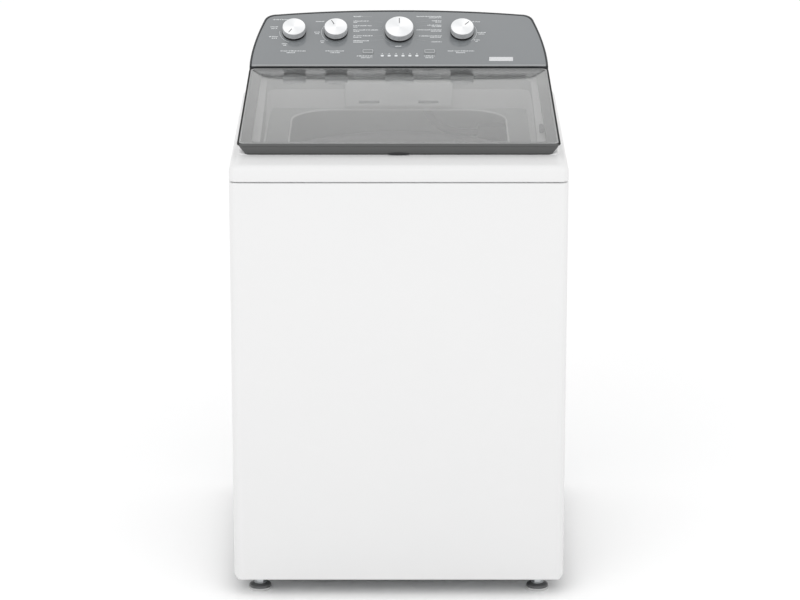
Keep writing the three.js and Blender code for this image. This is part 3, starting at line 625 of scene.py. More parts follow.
def cabinet_route():
    """Points and inward normals of the wrap: right rear flange, side, front, side, left rear flange."""
    flange = HALF_WIDTH - REAR_FLANGE
    route = [((flange, CABINET_REAR), (0, -1))]
    corners = ((1, CABINET_REAR - REAR_CORNER_RADIUS, REAR_CORNER_RADIUS, 90, 0),
               (1, FRONT + CORNER_RADIUS, CORNER_RADIUS, 0, -90),
               (-1, FRONT + CORNER_RADIUS, CORNER_RADIUS, -90, -180),
               (-1, CABINET_REAR - REAR_CORNER_RADIUS, REAR_CORNER_RADIUS, 180, 90))
    steps = 12
    for side, cy, radius, start, end in corners:
        cx = side * (HALF_WIDTH - radius)
        for i in range(steps + 1):
            angle = math.radians(start + (end - start) * i / steps)
            out = (math.cos(angle), math.sin(angle))
            route.append(((cx + radius * out[0], cy + radius * out[1]), (-out[0], -out[1])))
    route.append(((-flange, CABINET_REAR), (0, -1)))
    return route


def make_cabinet():
    top, inside = CABINET_TOP, CABINET_TOP - SHEET
    loops = []
    for (x, y), (nx, ny) in cabinet_route():
        b = CABINET_BOTTOM + min(max(abs(x) - (HALF_WIDTH - CHAMFER), 0), CHAMFER)
        section = ((1.4, b), (0.4, b + 0.4), (0, b + 1.4), (0, top - 3.2), (0.3, top - 1.7), (1.2, top - 0.5),
                   (2.8, top), (6, top), (6, inside), (2.8, inside), (1.7, top - 2), (SHEET, top - 3.6),
                   (SHEET, b + 1.4))
        loops.append([(x + nx * d, y + ny * d, z) for d, z in section])
    piece("cabinet_wrap", capped(loops), "cabinet", "white_enamel", replaces=["cabinet_shell"], angle=40)


def make_rear_panel():
    """A galvanised back with two stamped fields, a row of vent slots and its screws."""
    low, high = edges_of("rear_panel")
    step = 7.5
    columns = round((high.x - low.x) / step)
    rows = round((high.z - low.z) / step)
    fields, half, depth, slope = ((90, 430), (470, 740)), 260, 3.0, 10

    verts, faces = [], []
    for j in range(rows + 1):
        for i in range(columns + 1):
            x = low.x + (high.x - low.x) * i / columns
            z = low.z + (high.z - low.z) * j / rows
            out = max(depth * clamp(min(half - abs(x), z - z0, z1 - z) / slope) for z0, z1 in fields)
            verts.append((x, high.y + out, z))
    for j in range(rows):
        for i in range(columns):
            a = j * (columns + 1) + i
            faces.append((a, a + 1, a + columns + 2, a + columns + 1))
    piece("rear_cover", (verts, faces), "cabinet", "galvanised", replaces=["rear_panel"], angle=30,
          sheet=SHEET)

    screw = joined(lathe([(5.5, 0), (5.5, 1.2), (4, 2.2), (0, 2.4)], 20), hexagon(3.4, 1.5, 3.2))
    screws = [along_y(screw, x, high.y, z) for x in (-331, 331) for z in (80, 250, 450, 650, 860)]
    piece("rear_screws", joined(*screws), "cabinet", "galvanised", "zinc", angle=30)
    slot = plate(rounded(4, 46, 1.9, 4), 0, 0.5)
    slots = [along_y(slot, x, high.y + 0.1, 775) for x in range(-90, 91, 12)]
    piece("rear_vents", joined(*slots), "cabinet", "galvanised", "black_plastic", angle=30)


def collar_top(_, y):
    rise = (COLLAR["rear_top"] - COLLAR["front_top"]) / (COLLAR["rear"] - COLLAR["front"])
    return COLLAR["front_top"] + rise * (y - COLLAR["front"])


def collar_foot(_, y):
    return 922.5 + (208 - y) * 0.009


def above(height, rise):
    """A height, or a function of x and y that gives one, with a rise added."""
    return (lambda x, y: height(x, y) + rise) if callable(height) else height + rise


def make_top_panel():
    """The white top: turned skirt, rounded shoulder, sloping collar, sunk deck and the rolled mouth."""
    def edge(inset, radius, height):
        return frame_loop(HALF_WIDTH - inset, FRONT + inset, TOP_REAR - inset, radius, height)

    def collar(grow, height, rise=0):
        return frame_loop(COLLAR["half"] + grow * 0.6, COLLAR["front"] - grow, COLLAR["rear"] + min(grow, 2),
                          COLLAR["radius"] + grow, above(height, rise))

    def well(grow, height, rise=0):
        return frame_loop(WELL["half"] + grow, WELL["front"] - grow, WELL["rear"] + min(grow * 0.6, 2),
                          WELL["radius"] + grow, above(height, rise))

    def mouth(grow, height, rise=0):
        return frame_loop(MOUTH["half"] + grow, MOUTH["front"] - grow, MOUTH["rear"] + grow,
                          MOUTH["radius"] + grow, above(height, rise))

    skin = stacked(
        (edge, (6.5, 10, SEAM_TOP), (1.6, 15, SEAM_TOP), (0.5, 15.5, SEAM_TOP + 0.5), (0, 16, SEAM_TOP + 1.8),
         (0, 16, 904), (0.35, 16, 909.5), (1.4, 15, 913.6), (3.2, 14, 916.9), (5.6, 13, 919),
         (8.6, 12, 920.2), (12, 11, SHOULDER + 0.3)),
        (collar, (3.4, collar_foot), (2, collar_foot, 0.5), (1, collar_foot, 2), (0, collar_top, -2),
         (-0.6, collar_top, -0.6), (-2.2, collar_top)),
        (well, (2.4, collar_top), (0.7, collar_top, -0.6), (0, collar_top, -2.2), (-3.4, DECK, 7),
         (-5.2, DECK, 2.4), (-8.5, DECK, 0.4), (-12, DECK)),
        (mouth, (4, DECK), (1.4, DECK, -0.3), (0, DECK, -1.2), (-1, DECK, -2.6), (-0.8, DECK, -3.7),
         (0.2, DECK, -4), (1, DECK, -3.4), (2.4, DECK, -2.4)),
        (well, (-10, DECK, -2.4), (2.4, collar_top, -3)),
        (collar, (-2.6, collar_top, -3), (-1, collar_foot, -2.4)),
        (edge, (9, 11, SHOULDER - 2.2), (6.5, 10, 910)))
    piece("top_skin", ring_of(skin), "cabinet", "white_moulding", "white_enamel", ["top_panel"], angle=50)

    # A thin grey sheet just over the white deck and well walls; its colour is painted shade for the shaded
    # loading well.
    shade_layer = stacked(
        (well, (-0.4, collar_top, -2.6), (-3.9, DECK, 7.2), (-5.8, DECK, 2.8), (-9, DECK, 0.9),
         (-12, DECK, 0.5)),
        (mouth, (2.4, DECK, 0.4), (2.2, DECK, -0.2)),
        (well, (-8.2, DECK, -0.2), (-3, DECK, 4), (0.4, collar_top, -3.4)))
    piece("deck_shade_sheet", ring_of(shade_layer), "cabinet", "white_moulding", "deck_painted_shade", angle=50)
    seam = stacked((edge, (7.4, 9, CABINET_TOP - 3), (7.4, 9, SEAM_TOP + 4), (9.4, 8, SEAM_TOP + 4),
                    (9.4, 8, CABINET_TOP - 3)))
    piece("seam_gasket", ring_of(seam), "cabinet", "white_moulding", "white_plastic")


def make_flume():
    low, high = edges_of("fill_flume")
    rear = 194.8
    shell = block(low, (high.x, rear, high.z))
    piece("flume_cover", shell, "cabinet", "white_plastic", replaces=["fill_flume"], bevel=3, segments=4)
    slots = [block((x - 22, low.y - 0.4, low.z + 8), (x + 22, low.y + 1, low.z + 14)) for x in (-64, 64)]
    piece("flume_slots", joined(*slots), "cabinet", "black_plastic", bevel=0.5)
    stub = lathe([(11, 0), (11, 18), (11.8, 19.5), (10.4, 22)], 32)
    piece("flume_stub", along_y(stub, HOSE_X, rear, HOSE_Z), "cabinet", "white_plastic")


def make_feet():
    r = FOOT_RADIUS
    for corner in CORNERS:
        foot = "foot_" + corner
        x, y, _ = centre_of(foot)
        rim = [(r - 3, 0), (r - 1.4, 0.1), (r - 0.3, 0.9), (r, 2), (r, 4.6), (r - 0.5, 5.4), (r - 3, 5.6)]
        piece(foot + "_rim", lathe(rim, 48, x, y), foot, "foot_rubber", "foot_rim", angle=30)
        pad = [(r - 1.4, 5.3), (r - 1.2, 8), (r - 2.2, 10.4), (r - 5.4, 12.2), (15, 13.4), (13.4, 14.2),
               (0, 14.4)]
        piece(foot + "_pad", lathe(pad, 48, x, y), foot, "foot_rubber", "foot_plastic", [foot], angle=30)
        collar = lathe([(13.2, 13.8), (13.2, 15), (12.4, 15.4), (8, 15.4)], 36, x, y)
        nut = joined(hexagon(12, 14, 25, x, y), collar)
        piece(foot + "_nut", nut, foot, "foot_rubber", "zinc", angle=25, bevel=0.4)
        piece(foot + "_stud", thread(5, 24.5, 80, 1.5, 1.0, x, y), foot, "foot_rubber", "zinc", angle=20)


# ---------------------------------------------------------------- lid

ACROSS = tuple(range(-300, 301, 6))


def lid_bottom(v):
    front, rear = LID_DEPTH
    return -front + (front - rear) * v / LID_LENGTH


def underside(w, hem=0.0):
    """Height of the lid's underside: raised in the middle of the front for the fingers, with a hem along
    the front."""
    def height(x, v):
        notch = clamp((24 - abs(x)) / 10) if v < 40 and not hem else 0
        return lid_bottom(v) + w - hem * clamp((12 - v) / 6) + 4 * eased(notch)
    return height


def lid_loop(side, front, rear, radius, height):
    return frame_loop(LID_HALF[0] - side, front, LID_LENGTH - rear, radius, height,
                      rear_half=LID_HALF[1] - side, across=ACROSS, behind=HINGE_NOTCH["stations"])


def glass_loop(inset, radius, height):
    """A loop of the lid at an even inset, but 3 mm more at the rear, as the glass lies in its frame."""
    return lid_loop(inset, inset, inset + 3, radius, height)


def notched(loops, roof):
    """Loops of the lid, cut away beneath the roof at both rear corners, where the hinge bushes stand."""
    side, front = HINGE_NOTCH["side"], HINGE_NOTCH["front"]
    return [[(x, y, max(z, roof) if abs(x) > side and y > front else z) for x, y, z in loop]
            for loop in loops]


def make_lid():
    rim = GLASS_RIM
    loops = stacked(
        (lid_loop, (2.2, 2.2, 2, 12, -3), (rim + 0.2, rim + 0.2, rim + 3, 10, -4.4), (27, 27, 22, 12, -4.4),
         (27, 27, 22, 12, underside(0.8)), (26, 26, 21, 12, underside(0)), (17, 7.2, 7, 12, underside(0)),
         (16, 5.4, 6, 12, underside(0, 2.4)), (15, 3.6, 5, 12, underside(0, 3.2)),
         (14, 2.6, 4.4, 12, underside(0.5, 3.2)), (13.2, 1.9, 4, 12, underside(1.6, 3.2)),
         (11.4, 1, 3.6, 12, underside(4, 1.5)), (6, 0.5, 2.4, 12, -11), (3.6, 1.2, 1.2, 13, -7.4),
         (2.8, 2, 1, 13, -6)))
    piece("lid_surround", ring_of(notched(loops, -3.9)), "lid", "dark_plastic", "lid_frame", ["lid_frame"],
          LID, angle=50)
    edge = stacked(
        (glass_loop, (rim, 10, -3.6), (rim, 10, -0.4), (rim - 0.5, 10, 0)),
        (lid_loop, (2.4, 2.4, 2, 12, -0.15), (1.4, 1.4, 1.4, 12, -0.45), (0.6, 0.6, 0.6, 13, -1.3),
         (0.1, 0.1, 0.1, 14, -2.6), (0, 0, 0, 14, -4), (0.5, 0.2, 0.3, 13.5, -5), (2.4, 1.4, 0.8, 13, -5.8),
         (3, 3, 2, 12, -4)))
    # The trim's colour carries a painted highlight along the front edge.
    piece("lid_edge", ring_of(notched(edge, -3.75)), "lid", "dark_plastic", "lid_edge", place=LID, angle=60)
    ears = [block((x - 3.05, 480, -14), (x + 3.05, 489, -3.5)) for x in (-310.45, 310.45)]
    piece("hinge_ears", joined(*ears), "lid", "dark_plastic", "lid_frame", place=LID, bevel=1.2)
    # A black lens-shaped plate across the front of the finger notch: painted shade where the recess lies
    # dark.
    turns = [math.pi * i / 16 for i in range(32)]
    notch_outline = [(22 * math.cos(a), (4 if a < math.pi else 1.9) * math.sin(a)) for a in turns]
    piece("finger_notch_shade", capped([[(x, v, -22.4 + rise) for x, rise in notch_outline] for v in (0.3, 4)]), "lid",
          "dark_plastic", "black_plastic", place=LID)
    seal = [glass_loop(rim + d, 10, w) for d, w in ((0.1, -0.6), (0.5, -0.25), (3, -0.2), (3.4, -0.5))]
    piece("glass_seal", ring_of(seal), "lid", "dark_plastic", "glass_seal", place=LID, angle=60)

    inset = rim + 0.25
    pane = stacked((glass_loop, (inset + 0.5, 9, -0.4), (inset, 9.7, -0.6), (inset, 9.7, -1.6)))
    piece("lid_pane", capped(pane), "lid", "smoked_glass", replaces=["lid_glass"], place=LID, angle=20)


# ---------------------------------------------------------------- console

def console_side(v):
    return CONSOLE_HALF - 27.5 * (max(v, 0) / 135) ** 1.7


def console_crown(u):
    return CONSOLE_CREST - 13 * (abs(u) / CROWN["half"]) ** 2.2


def console_outline():
    """Stations round the console, each with its point and the part of the edge that it is on."""
    start, half = CROWN["start"], CROWN["half"]
    right = [(console_side(v), v, "side") for v in [1.2 + 135.8 * i / 27 for i in range(28)]]
    p0, p1, p2 = (console_side(start), start), (289, 155.5), (half, console_crown(half))
    for i in range(1, 12):
        t = i / 12
        u, v = (a * (1 - t) ** 2 + 2 * b * t * (1 - t) + c * t * t for a, b, c in zip(p0, p1, p2))
        right.append((u, v, "crown"))
    right += [(u, console_crown(u), "crown") for u in [half * (1 - i / 24) for i in range(24)]]
    left = [(-u, v, kind) for u, v, kind in reversed(right)]
    foot = [(-322.4 + 644.8 * i / 24, 0.4, "foot") for i in range(25)]
    return right + [(0, CONSOLE_CREST, "crown")] + left + foot


OUTLINE = console_outline()


def console_loop(inset, w, foot=0.4):
    """The outline drawn in by an inset at its sides and crown, at a height w, in the console's axes."""
    points = []
    for u, v, _ in OUTLINE:
        if v > CONSOLE_MIDDLE:
            v = CONSOLE_MIDDLE + (v - CONSOLE_MIDDLE) * (1 - inset / (CONSOLE_CREST - CONSOLE_MIDDLE))
        points.append((u * (1 - inset / CONSOLE_HALF), max(v, foot), w))
    return points


def console_skirt(inset, w, fall):
    """Where the outline comes down to: the lip over the lid, the deck at the sides, the rear wall behind."""
    start, half = CROWN["start"], CROWN["half"]
    points = []
    for (u, v, kind), rim in zip(OUTLINE, console_loop(inset, w)):
        x, y, z = CONSOLE @ Vector(rim)
        if kind == "foot":
            y, z = 206.8 + inset, min(z, 1000.2)
            end = Vector((x, y, 987))
        elif kind == "side":
            t = (v - 2) / 135
            end = Vector((math.copysign(324 - 12 * t - inset, u), 209.5 + 128 * t + inset * (1 - 2 * t),
                          CONSOLE_FOOT))
        else:
            end = Vector((x * 1.05, CONSOLE_REAR - inset, CONSOLE_FOOT))
            if abs(u) > half:
                t = (abs(u) - half) / (console_side(start) - half)
                end.x = math.copysign(278 + (312 - inset - 278) * t, u)
                end.y += (337.5 - CONSOLE_REAR) * t ** 2
        points.append(Vector((x, y, z)).lerp(end, fall))
    return points


def console_rim(inset, w):
    """A loop at the rim; along the foot it stays below the fascia's edge."""
    return [CONSOLE @ Vector((x, y, min(z, -3.9) if kind == "foot" else z))
            for (x, y, z), (_, _, kind) in zip(console_loop(inset, w), OUTLINE)]


def console_rear_edge(fall):
    """The crown rolls over to the rear wall before it goes down."""
    points = console_skirt(0, -4, fall)
    for (u, _, kind), point in zip(OUTLINE, points):
        if kind == "crown" and abs(u) <= CROWN["half"] + 1:
            point.y = CONSOLE_REAR
    return points


def make_console():
    border = FASCIA_BORDER
    loops = stacked(
        (console_rim, (border + 6, -4.2), (border, -4.2), (border, -0.5), (border - 0.5, 0), (1.6, 0),
         (0.5, -0.5), (0, -1.6), (0, -3.4)),
        (console_rear_edge, (0.05,), (0.5,)),
        (console_skirt, (0, -4, 0.97), (0, -4, 1), (2.4, -6, 1), (2.4, -6, 0.05)))
    piece("console_body", ring_of(loops), "cabinet", "dark_plastic", replaces=["console_housing"], angle=38)

    inset = border + 0.3
    face = stacked((console_loop, (inset, -3.6, 0.8), (inset, -1.2, 0.8), (inset + 0.25, -0.8, 1),
                    (inset + 0.9, FASCIA_SURFACE, 1.4)))
    piece("fascia_skin", capped(face), "cabinet", "grey_fascia", None, ["console_fascia"], CONSOLE, angle=20)
    half = CONSOLE_HALF - border - 1.6
    section = ((0.7, -2), (0.7, -0.9), (1.2, -0.35), (4.6, -0.35), (4.9, -0.7), (4.9, -2))
    strip = [[(x, v, w) for v, w in section] for x in (-half, half)]
    piece("fascia_edge", capped(strip), "cabinet", "grey_fascia", "fascia_trim", place=CONSOLE)


def make_knobs():
    h = KNOB_HEIGHT
    for name, facts in KNOBS.items():
        r = facts["radius"]
        place = on_console(knob_u(name), KNOB_V, FASCIA_SURFACE)
        neck = lathe([(3.6, 0.5), (r - 2.2, 0.5), (r - 1.8, 1), (r - 1.8, 4.4), (3.6, 4.4)], 64)
        piece(name + "_neck", neck, name, "silver_knob", "black_plastic", [name], place, angle=30)
        side = [(3.6, 3.6), (r - 1.4, 3.6), (r - 0.4, 3.9), (r, 4.6), (r, 6.4), (r - 0.35, 6.8),
                (r - 0.35, 7.4), (r, 7.8), (r - 0.3, h - 1.2), (r - 0.7, h - 0.5), (r - 1.2, h - 0.4),
                (3.6, h - 1.5)]
        piece(name + "_body", lathe(side, 96), name, "silver_knob", "knob_side", place=place, angle=30)
        face = [(r - 1.2, h - 1.6), (r - 0.9, h - 0.5), (r - 1.1, h - 0.15), (r - 1.6, h),
                (r * 0.6, h - 0.35), (r * 0.3, h - 0.5), (0, h - 0.6)]
        piece(name + "_face", lathe(face, 96), name, "silver_knob", "knob_face", place=place, angle=30)
        mark = plate(rounded(1.5, r * 0.5, 0.7, 4, 0, r * 0.58), h - 0.55, h - 0.05)
        piece(name + "_pointer", moved(mark, turned(-30 * facts["clock"])), name, "silver_knob", "print_dark",
              place=place)
        well = lathe_ring([(r - 3, 0), (r + 0.8, 0), (r + 0.8, 0.12), (r + 0.4, 0.25), (r - 3, 0.25)], 96)
        piece(name + "_well", well, "cabinet", "dark_plastic", "black_plastic", place=place)


def make_buttons():
    for name in BUTTONS:
        place = on_console(centre_of(name).x, BUTTON_V)
        cap = cushion(25, 14, 1.6, 5, (0.6, -3.6), (0.6, -0.4), (1, 0.05), (1.8, 0.2))
        piece(name + "_cap", cap, name, "grey_fascia", "button_cap", [name], place, angle=40)
        rim = hoop(rounded(26.6, 15.6, 2.2), rounded(25.5, 14.5, 1.8), FASCIA_SURFACE - 0.2,
                   FASCIA_SURFACE + 0.15)
        piece(name + "_rim", rim, "cabinet", "grey_fascia", "button_cap", place=place)
        mark = hoop(rounded(22, 9.4, 1.6, y=1.4), rounded(20.8, 8.2, 1.1, y=1.4), 0.1, 0.3)
        piece(name + "_mark", mark, name, "grey_fascia", "print", place=place)


def make_lens():
    place = on_console(centre_of("indicator_lens").x, LENS_V)
    cover = cushion(90, 12, 2, 5, (0, -3.6), (0, -0.65), (0.6, -0.35))
    piece("indicator_window", cover, "cabinet", "smoked_lens", "grey_fascia", ["indicator_lens"], place,
          angle=40)
    marks = []
    for i in range(6):
        x = -37.5 + 15 * i
        marks.append(plate(rounded(6.5, 5, 1.5, 4, x, -2), -0.45, -0.25))
        marks.append(lathe([(1.1, -0.45), (1.1, -0.2), (0.6, -0.1)], 16, x, 4))
    piece("indicator_marks", joined(*marks), "cabinet", "smoked_lens", "print", place=place)


def arc_strip(name, start, end, width):
    """A thin printed arc round a knob, between two clock angles in degrees from 12, clockwise."""
    radius = KNOBS[name]["radius"] + 6
    low, high = PRINT_LOW, PRINT_LOW + 0.08
    steps = max(int(abs(end - start) / 4), 2)
    loops = []
    for i in range(steps + 1):
        a = math.radians(90 - (start + (end - start) * i / steps))
        loops.append([(r * math.cos(a), r * math.sin(a), h) for r, h in
                      ((radius, low), (radius + width, low), (radius + width, high), (radius, high))])
    return shifted(capped(loops), knob_u(name), KNOB_V, 0)


def words(u0, u1, v, size=2.6, seed=1):
    """A line of plain small blocks of unequal width, in place of a line of print."""
    shapes = []
    u, foot = u0, v - size / 2
    while u < u1 - 0.6:
        seed = (seed * 37 + 11) % 101
        width = min(0.9 + 0.25 * (seed % 5), u1 - u)
        tall = size * (0.72 if seed % 3 else 1)
        shapes.append(block((u, foot, PRINT_LOW), (u + width, foot + tall, PRINT_HIGH)))
        u += width + (1.6 if seed % 6 == 0 else 0.45)
    return shapes


def line(u0, v0, u1, v1, width=0.5):
    """A fine straight line of print."""
    a, b = Vector((u0, v0, 0)), Vector((u1, v1, 0))
    off = Vector((a.y - b.y, b.x - a.x, 0)).normalized() * width / 2
    return plate([(p.x, p.y) for p in (a - off, b - off, b + off, a + off)], PRINT_LOW, PRINT_HIGH)


# Each caption is the start and end of a line of print across, and its height up the fascia. The groups are
# round the temperature, water level and rinse knobs, in columns beside the cycle knob, and at the buttons.
CAPTIONS = (
    ((-275, -240, 140), (-280, -262, 118), (-278, -264, 113), (-282, -262, 88.5), (-276, -265, 83.5),
     (-254, -242, 67), (-251, -244, 62.5), (-256, -202, 45.5), (-243, -225, 40.5)),
    ((-181, -163, 134.5), (-184, -172, 102), (-182, -174, 97.5), (-171, -162, 75.5), (-169, -163, 71),
     (-159, -119, 45.5), (-149, -128, 40.5)),
    ((159, 177, 133.5), (171, 189, 101), (173, 186, 96.5), (163, 176, 78.5), (166, 173, 74), (106, 163, 45.5),
     (124, 144, 40.5)),
    ((-99, -80, 149.5), (-99, -66, 135.5), (-99, -91, 131.5), (-99, -60, 121.5), (-99, -90, 117.5),
     (-99, -45, 108.5), (-99, -86, 104.5), (-99, -57, 91), (-99, -82, 86.5), (-99, -63, 76), (-99, -78, 72),
     (39, 93, 149.5), (66, 93, 145.5), (72, 93, 136.5), (80, 93, 132.5), (62, 93, 123), (72, 93, 119),
     (38, 93, 109), (70, 93, 105), (44, 93, 90.5), (68, 93, 86.5), (71, 93, 73)),
    ((-91, -57.5, 30.5), (-82, -57.5, 25.5), (55, 77, 30.5), (57, 75, 25.5), (-8, 5, 59.5)),
)
LEADERS = ((-65, 134, -36, 132), (-59, 120.5, -37, 119), (-44, 107.5, -38, 106), (-56, 90, -37, 91.5),
           (-62, 75, -34, 80), (38, 132, 70, 136), (40, 119, 60, 122), (36, 92, 43, 90), (38, 80, 70, 73.5))
SCALES = {"temperature_knob": (200, 275), "water_level_knob": (215, 305), "rinse_knob": (55, 145)}
CYCLE_ARCS = ((35, 80), (100, 150), (210, 260), (280, 325))


def make_prints():
    """Plain printed scales, leaders, icons and lines of blocks; nothing can be read."""
    shapes = [arc_strip(name, start, end, 0.6) for name, (start, end) in SCALES.items()]
    for i, lines in enumerate(CAPTIONS):
        for k, (u0, u1, v) in enumerate(lines):
            shapes += words(u0, u1, v, seed=7 * i + 3 * k + 2)
    shapes += words(-99, -79, 149.5, 3.4, 5)
    piece("fascia_prints", joined(*shapes), "cabinet", "grey_fascia", "print", place=CONSOLE)
    faint = [line(*ends) for ends in LEADERS]
    faint += [arc_strip("cycle_knob", start, end, 0.5) for start, end in CYCLE_ARCS]
    faint += words(-78, -59, 149.5, 3, 9)
    piece("fascia_leaders", joined(*faint), "cabinet", "grey_fascia", "print_faint", place=CONSOLE)

    badge = cushion(52, 12, 1.5, 4, (0, FASCIA_SURFACE - 0.1), (0, FASCIA_SURFACE + 0.5),
                    (0.8, FASCIA_SURFACE + 0.9))
    piece("badge_plate", badge, "cabinet", "grey_fascia", "badge", place=on_console(221, 21), angle=40)


# ---------------------------------------------------------------- tub, basket and wash plate

def hooped(profile, steps=96):
    """A ring turned about the tub's axis."""
    return lathe_ring(profile, steps, 0, TUB_Y)


def make_outer_tub():
    """A moulded tub: hoops and upright ribs outside, four ribbed lugs on the suspension rods."""
    r, inside = TUB["radius"], TUB["radius"] - TUB["wall"]
    top, bottom = TUB["top"], TUB["bottom"]
    wall = [(34, bottom), (r - 10, bottom), (r - 2.5, bottom + 2.5), (r, bottom + 10)]
    for z in (330, 450, 570, 690):
        wall += [(r, z - 4), (r + 4, z - 2), (r + 4, z + 2), (r, z + 4)]
    wall += [(r, top - 8), (r + 7, top - 8), (r + 7, top), (inside, top), (inside, bottom + 14),
             (inside - 8, bottom + 6), (34, bottom + 6)]
    piece("tub_wall", hooped(wall), "tub", "white_plastic", "tub_plastic", ["outer_tub"], angle=30)

    rib = block((r - 1, -1.5, bottom + 8), (r + 3.4, 1.5, top - 8))
    piece("tub_ribs", around(rib, 12, start=15), "tub", "white_plastic", "tub_plastic")
    lug = joined(block((r - 2, -20, 252), (405, 20, 256)), block((r - 2, -20, 256), (398, -17, 268)),
                 block((r - 2, 17, 256), (398, 20, 268)), block((r - 2, -1.5, 256), (366, 1.5, 267)),
                 lathe_ring([(5.5, 252), (12, 252), (12, 268), (5.5, 268)], 32, 384.7, 0))
    piece("tub_lugs", around(lug, 4, start=45), "tub", "white_plastic", "tub_plastic")

    ring = [(238, top + 0.5), (r + 6, top + 0.5), (r + 7, top + 1.5), (r + 7, top + 5), (r + 4, top + 8),
            (r - 2, top + 18), (252, top + 20), (246, top + 19.6), (240, top + 17), (238, top + 14)]
    piece("tub_rim", hooped(ring), "tub", "white_plastic", "ring_plastic", ["tub_ring"])
    clip = block((r + 4.5, -9, top - 9), (r + 8, 9, top + 5))
    piece("tub_clips", around(clip, 8, start=22.5), "tub", "white_plastic", bevel=1)


def make_basket():
    """A stainless drum: fluted wall pierced with small round holes, rolled floor, balance ring on top."""
    columns, rows, hole, sides = 72, 24, 2.3, 8
    flutes, flute_depth, fade_length = 24, 1.6, 30
    radius, low, high = BASKET["radius"], BASKET["bottom"] + 12, BASKET["top"]
    width, height = 2 * math.pi * radius / columns, (high - low) / rows
    verts, faces = [], []
    for j in range(rows):
        for i in range(columns):
            start = len(verts)
            size = hole if (i + j) % 2 and 0 < j < rows - 1 else 0.0
            for k in range(sides):
                angle = 2 * math.pi * k / sides
                c, d = math.cos(angle), math.sin(angle)
                reach = 1 / max(abs(c), abs(d))
                for across, up in ((c * reach * width / 2, d * reach * height / 2), (c * size, d * size)):
                    turn = ((i + 0.5) * width + across) / radius
                    z = low + (j + 0.5) * height + up
                    fade = clamp(min((z - low) / fade_length, (high - z) / fade_length))
                    r = radius - flute_depth * fade * (0.5 + 0.5 * math.cos(flutes * turn)) ** 2
                    verts.append((r * math.cos(turn), TUB_Y + r * math.sin(turn), z))
            for k in range(sides):
                a, b = start + 2 * k, start + 2 * ((k + 1) % sides)
                faces.append((a, b, b + 1, a + 1) if size else (a, b, a + 1))
    piece("basket_wall", (verts, faces), "basket", "basket_steel", replaces=["wash_basket"], angle=40,
          sheet=0.7)

    r, z = BASKET["radius"], BASKET["bottom"]
    floor = [(10, z), (60, z), (64, z + 1.5), (150, z + 1.5), (154, z), (r - 10, z), (r - 4, z + 2),
             (r - 0.8, z + 6.5), (r, z + 12), (r - 0.9, z + 12), (r - 2, z + 7), (r - 5, z + 3.2),
             (r - 11, z + 1.6), (155, z + 1.6), (151, z + 3), (63, z + 3), (59, z + 1.6), (10, z + 1.6)]
    piece("basket_floor", hooped(floor), "basket", "basket_steel")

    ring = [(240, 789.6), (260, 789.6), (262, 791), (262, 818), (260.5, 822), (257, 824), (251, 824),
            (250, 822.6), (247, 822.6), (246, 824), (240, 824), (236, 821), (234, 816), (234, 796),
            (235.4, 791.6)]
    piece("balance_skin", hooped(ring, 120), "basket", "white_plastic", "ring_plastic", ["balance_ring"],
          angle=45)
    screw = along_x(lathe([(4, 0), (4, 0.8), (2.8, 1.8), (0, 2)], 16), 256.2, 0, 779)
    piece("basket_screws", around(screw, 12), "basket", "basket_steel", "zinc")


# The dish of the wash plate from its cap outwards and back beneath it. The vanes stand on its first points.
DISH = ((0, 321), (14, 320.6), (24, 318.6), (31, 315), (36, 313.6), (44, 309.5), (52, 303), (62, 292),
        (72, 284), (84, 280), (100, 278.6), (120, 277.4), (140, 276.4), (158, 275.6), (172, 274.8),
        (181, 273.6), (186, 271.6), (188, 269.6), (187, 267.4), (182, 266), (120, 266), (60, 266), (8.4, 266),
        (8.4, 298.4))
DISH_TOP_POINTS = 18
VANES, VANE_HEIGHT, VANE_CEILING = 6, 20, 297


def vane(r, angle):
    """Height of the vanes over the dish."""
    along = eased(clamp((r - 50) / 16) * clamp((180 - r) / 22))
    lean = angle + math.radians(14) * math.sin((r - 60) / 120 * math.pi)
    off = abs((lean / (2 * math.pi) * VANES + 0.5) % 1 - 0.5) * 2 * math.pi / VANES * max(r, 1)
    return VANE_HEIGHT * along * eased(clamp((13 - off) / 9))


def make_wash_plate():
    """A low dished plate with six curved vanes and a round cap."""
    steps = 216
    dense = []
    for i, ((r0, z0), (r1, z1)) in enumerate(zip(DISH, DISH[1:])):
        raised = i < DISH_TOP_POINTS
        parts = 2 if raised else 1
        dense += [(r0 + (r1 - r0) * k / parts, z0 + (z1 - z0) * k / parts, raised) for k in range(parts)]
    dense.append((*DISH[-1], False))
    loops = []
    for r, z, raised in dense:
        points = []
        for k in range(steps):
            angle = 2 * math.pi * k / steps
            lift = min(vane(r, angle), VANE_CEILING - z) if raised and z < VANE_CEILING else 0
            points.append((max(r, 0.02) * math.cos(angle), TUB_Y + max(r, 0.02) * math.sin(angle), z + lift))
        loops.append(points)
    piece("wash_plate_skin", capped(loops), "agitation", "white_plastic", "plate_plastic", ["wash_plate"],
          angle=50)
    holes = []
    for ring, count in ((98, 12), (128, 18), (156, 24)):
        z = next(height for r, height in DISH if r >= ring)
        for i in range(count):
            turn = 2 * math.pi * (i + 0.5) / count
            if vane(ring, turn) < 0.4:
                x, y = ring * math.cos(turn), TUB_Y + ring * math.sin(turn)
                holes.append(lathe([(2.6, z), (2.6, z + 1.4)], 12, x, y))
    piece("wash_plate_drains", joined(*holes), "agitation", "white_plastic", "print_dark")
    cap = lathe([(17, 319), (17, 321), (15.6, 322), (8, 322.6), (0, 322.8)], 48, 0, TUB_Y)
    piece("wash_plate_cap", cap, "agitation", "white_plastic", "port_plastic", angle=30)


# ---------------------------------------------------------------- drive

